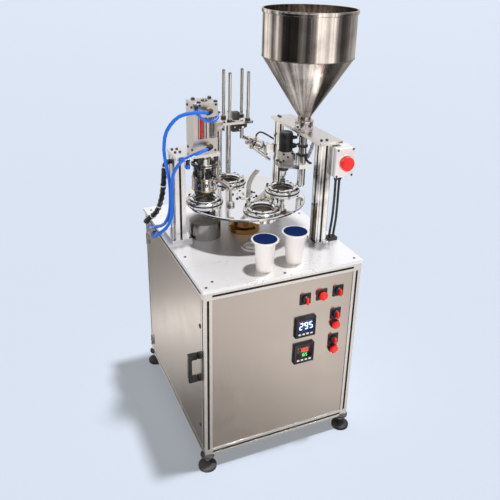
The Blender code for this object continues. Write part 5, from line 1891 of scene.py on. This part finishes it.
    def lines(self, kit: ScrewKit) -> None:
        """Lay the black control hose and the clear bypass tube with its wire."""
        x, y, z = self.valve
        tube("control_hose",
             [spot(x + 0.036, y - 0.024, z + 0.030), spot(x + 0.044, y - 0.034, z + 0.024),
              spot(x + 0.048, y - 0.050, z + 0.002), spot(x + 0.056, y - 0.062, z - 0.022),
              spot(x + 0.068, y - 0.066, z - 0.036), spot(x + 0.080, y - 0.060, z - 0.042)],
             0.0046, "frame", CABLE_BLACK)
        top = spot(0.268, -0.010, self.slab_low - 0.004)
        bottom = spot(0.2425, -0.0065, 1.042)
        points = [top, top + Vector((0.001, -0.004, -0.020)),
                  bottom + Vector((0.017, -0.004, 0.034)), bottom + Vector((0.008, 0.0, 0.004)),
                  bottom]
        tube("bypass_tube", points, 0.0062, "frame", CLEAR_TUBE)
        smooth = smooth_line(points, 10)
        wire = []
        for k, place in enumerate(smooth):
            a = math.tau * k / 5
            wire.append(place + Vector((0.0072 * math.cos(a), 0.0072 * math.sin(a), 0.0)))
        tube("bypass_wire", [tuple(p) for p in wire], 0.0009, "frame", SPRING_STEEL,
             steps=3)
        gland = turned(spot(0.268, -0.010, self.slab_low - 0.0003),
                       [(0, 0), (0.0098, 0), (0.0098, 0.008), (0.0078, 0.011), (0, 0.011)], 24,
                       Axis.DOWN)
        settle(gland, "bypass_gland", "frame", POLISHED)
        clamps = [ring(spot(self.x, self.y, 0.0), 0.0156, 0.0195, z, z + 0.010, 32)
                  for z in (1.050, 1.085)]
        settle(joined(clamps), "pump_clamps", "frame", BLACK_STEEL, bevel=0.001)
        self.lid_guide()
        kit.place("chute_screw", "turntable", [spot(0.0455, 0.0352, 0.9085)], UP, 0.0045, 0.004)

    def lid_guide(self) -> None:
        """Bend the flat lid guide that stands on the disc."""
        line = smooth_line([spot(0.062, 0.045, 0.9968), spot(0.044, 0.045, 0.977),
                            spot(0.030, 0.045, 0.952), spot(0.0255, 0.045, 0.928),
                            spot(0.0265, 0.045, 0.9085)], 5)
        deselect()
        bpy.ops.mesh.primitive_grid_add(x_subdivisions=len(line) - 1, y_subdivisions=2, size=1.0)
        strip = bpy.context.object
        rows = sorted({round(v.co.x, 5) for v in strip.data.vertices})
        for vertex in strip.data.vertices:
            place = line[rows.index(round(vertex.co.x, 5))]
            across = Vector((0.45, -0.89, 0.0)) * (0.021 * vertex.co.y)
            vertex.co = place + across
        wall = strip.modifiers.new("wall", "SOLIDIFY")
        wall.thickness = 0.003
        make_active(strip)
        bpy.ops.object.modifier_apply(modifier=wall.name)
        settle(strip, "lid_guide", "turntable", GUIDE_GREY, bevel=0.0005)

    def columns(self, kit: ScrewKit) -> None:
        """Fill the column slots and screw the column feet down."""
        strips = []
        for cx, cy, half, deep in ((0.2225, -0.163, 0.0225, 0.004), (0.220, 0.190, 0.015, 0.004)):
            for wx, wy in ((-1, 0), (1, 0), (0, -1), (0, 1)):
                depth = sorted((half - 0.0013, half - 0.0013 - deep))
                if wx:
                    xs = sorted((cx + wx * depth[0], cx + wx * depth[1]))
                    low, high = (xs[0], cy - 0.0036), (xs[1], cy + 0.0036)
                else:
                    ys = sorted((cy + wy * depth[0], cy + wy * depth[1]))
                    low, high = (cx - 0.0036, ys[0]), (cx + 0.0036, ys[1])
                strip = block(spot(*low, 0.773), spot(*high, 1.1445))
                step_faces(strip, (wx, wy, 0), [(0.0012, -0.0008)])
                strips.append(strip)
        for wy, y in ((-1, 0.033), (1, 0.113)):
            strip = block(spot(-0.2536, min(y + 0.0013 * -wy, y - wy * 0.0053), 0.773),
                          spot(-0.2464, max(y + 0.0013 * -wy, y - wy * 0.0053), 1.0845))
            step_faces(strip, (0, wy, 0), [(0.0012, -0.0008)])
            strips.append(strip)
        for wx, x in ((-1, -0.270), (1, -0.230)):
            for y in (0.053, 0.093):
                xs = sorted((x - wx * 0.0013, x - wx * 0.0053))
                strip = block(spot(xs[0], y - 0.0036, 0.773), spot(xs[1], y + 0.0036, 1.045))
                step_faces(strip, (wx, 0, 0), [(0.0012, -0.0008)])
                strips.append(strip)
        settle(joined(strips), "column_slot_strips", "frame", SLOT_BLACK)
        places = [spot(0.2225 + sx * 0.0252, -0.163 + sy * 0.0280, 0.772)
                  for sx in (-1, 1) for sy in (-1, 1)]
        places += [spot(-0.281, y, 0.772) for y in (0.018, 0.122)]
        places += [spot(-0.222, y, 0.772) for y in (0.018, 0.122)]
        kit.place("column_screws", "frame", places, UP, 0.0026, 0.003)


@dataclass(frozen=True)
class StopStation:
    """Housing, ring and glands of the emergency stop."""

    centre: Point = (0.2828, -0.186, 1.083)
    size: Point = (0.075, 0.060, 0.110)

    def build(self, kit: ScrewKit) -> None:
        """Mould the housing in two halves and dress it."""
        x, y, z = self.centre
        dx, dy, dz = (v / 2 for v in self.size)
        front = y - dy
        lid = block(spot(x - dx, front, z - dz), spot(x + dx, front + 0.020, z + dz))
        cut_out(lid, cylinder(spot(x, front, z), 0.0088, 0.06, Axis.FRONT, 28))
        piece = settle(lid, "stop_lid", "frame", BOX_GREY, bevel=0.005, segments=4)
        base = block(spot(x - dx, front + 0.0208, z - dz), spot(x + dx, y + dy, z + dz))
        cut_out(base, cylinder(spot(x, front + 0.02, z), 0.0088, 0.03, Axis.FRONT, 28))
        base = settle(base, "stop_base", "frame", BOX_GREY, bevel=0.003,
                      segments=3)
        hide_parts("stop_box")
        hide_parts("stop_box")
        joint = block(spot(x - dx + 0.002, front + 0.0195, z - dz + 0.002),
                      spot(x + dx - 0.002, front + 0.0213, z + dz - 0.002))
        cut_out(joint, cylinder(spot(x, front + 0.02, z), 0.0095, 0.03, Axis.FRONT, 28))
        settle(joint, "stop_seal", "frame", RUBBER, bevel=0.0004)
        collar = turned(spot(x, front, z), [(0.0090, -0.0005), (0.0300, -0.0005),
                        (0.0300, 0.0018), (0.0290, 0.0034), (0.0274, 0.0034),
                        (0.0268, 0.0014), (0.0090, 0.0014)], 48, Axis.FRONT)
        settle(collar, "stop_collar", "frame", BOX_GREY)
        kit.place("stop_screws", "frame",
                  [spot(x + sx * 0.031, front, z + sz * 0.0485) for sx in (-1, 1)
                   for sz in (-1, 1)], FRONT, 0.0042, 0.0012)
        glands = []
        for gx in (x - 0.0168, x - 0.0018):
            glands.append(turned(spot(gx, -0.190, z - dz),
                                 [(0.0048, 0.0002), (0.0080, 0.0002), (0.0080, 0.010),
                                  (0.0066, 0.016), (0.0048, 0.016)], 20, Axis.DOWN))
        settle(joined(glands), "stop_glands", "frame", BLACK_PLASTIC)


@dataclass(frozen=True)
class SampleCups:
    """Lids, rims and side seams of the two sample cups."""

    top: float = 0.8763
    places: tuple[tuple[float, float], ...] = ((-0.057, -0.289), (0.067, -0.272))

    def build(self, kit: ScrewKit) -> None:
        """Seal both cups with plain lids."""
        for index, (x, y) in enumerate(self.places):
            body = f"sample_cup_{index + 1}"
            film = turned(spot(x, y, self.top), [(0, 0.0001), (0.0415, 0.0001),
                          (0.0418, 0.0006), (0.0410, 0.0010), (0.0395, 0.0007), (0, 0.0007)],
                          56)
            settle(film, f"{body}_film", body, LID_NAVY)
            roll = turned(spot(x, y, self.top - 0.0022), [(0.0465, -0.0016), (0.0478, -0.0010),
                          (0.0482, 0.0), (0.0478, 0.0012), (0.0465, 0.0018)], 56)
            settle(roll, f"{body}_roll", body, CUP_WHITE)
            a = math.radians(262)
            foot, head = 0.0291, 0.0372
            tube(f"{body}_seam", [spot(x + foot * math.cos(a), y + foot * math.sin(a), 0.7625),
                                  spot(x + head * math.cos(a), y + head * math.sin(a), 0.868)],
                 0.0005, body, CUP_WHITE)
            base = ring(spot(x, y, 0.0), 0.0285, 0.0296, 0.7608, 0.7645, 48)
            settle(base, f"{body}_foot", body, CUP_WHITE, bevel=0.0003)


@dataclass(frozen=True)
class HoseTrim:
    """Ties and wrap on the hoses and the cable bundle."""

    def build(self, kit: ScrewKit) -> None:
        """Wrap the bundle and tie the hoses."""
        edge, y, rail, shelf = -0.300, 0.045, 0.733, 1.085
        bundle = [spot(edge + 0.016, y + 0.035, shelf - 0.028),
                  spot(edge + 0.007, y + 0.039, shelf - 0.050),
                  spot(edge + 0.006, y + 0.052, shelf - 0.110),
                  spot(edge + 0.007, y + 0.091, 0.898), spot(edge, y + 0.143, 0.822),
                  spot(edge - 0.018, y + 0.195, 0.774)]
        smooth = smooth_line(bundle, 24)
        wire = []
        for k, place in enumerate(smooth):
            a = math.tau * k / 8
            ahead = (smooth[min(k + 1, len(smooth) - 1)] - smooth[max(k - 1, 0)]).normalized()
            side = ahead.cross(Vector((0.0, 1.0, 0.3))).normalized()
            other = ahead.cross(side)
            wire.append(place + 0.0094 * (side * math.cos(a) + other * math.sin(a)))
        tube("bundle_wrap", wire, 0.0016, "frame", RUBBER, steps=2)
        ties = []
        for k in (20, 52, 84, 108):
            ahead = (smooth[k + 1] - smooth[k - 1]).normalized()
            ties.append(aimed(ring(smooth[k], 0.0105, 0.0118, -0.002, 0.002, 24), ahead))
        settle(joined(ties), "bundle_ties", "frame", TIE_WHITE, bevel=0.0004)


def log_new_pieces(label: str, known: set[str]) -> None:
    """Report each piece that an assembly has added.

    Args:
        label: What the assembly is called.
        known: Names reported so far, to which the new ones are added.
    """
    for piece in bpy.data.objects:
        if piece.type == "MESH" and piece.name not in known:
            known.add(piece.name)
            LOG.info("%s: %s, %d faces", label, piece.name, len(piece.data.polygons))


def main() -> None:
    """Build the scene."""
    FRAME.update(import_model())
    low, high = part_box("table_plate")
    FRAME["origin"] = Vector(((low.x + high.x) / 2, low.y + 0.355, 0.0))
    StudioCamera().build(FRAME["origin"])
    Studio().build()
    dress_nodes()
    kit = ScrewKit()
    known = {piece.name for piece in bpy.data.objects}
    for assembly in (RoundSurfaces(), Cabinet(), FrontPanel(), Turntable(), SealingStation(), LidStation(),
                     FillingStation(), StopStation(), SampleCups(), HoseTrim()):
        assembly.build(kit)
        log_new_pieces(type(assembly).__name__, known)


if __name__ == "__main__":
    main()
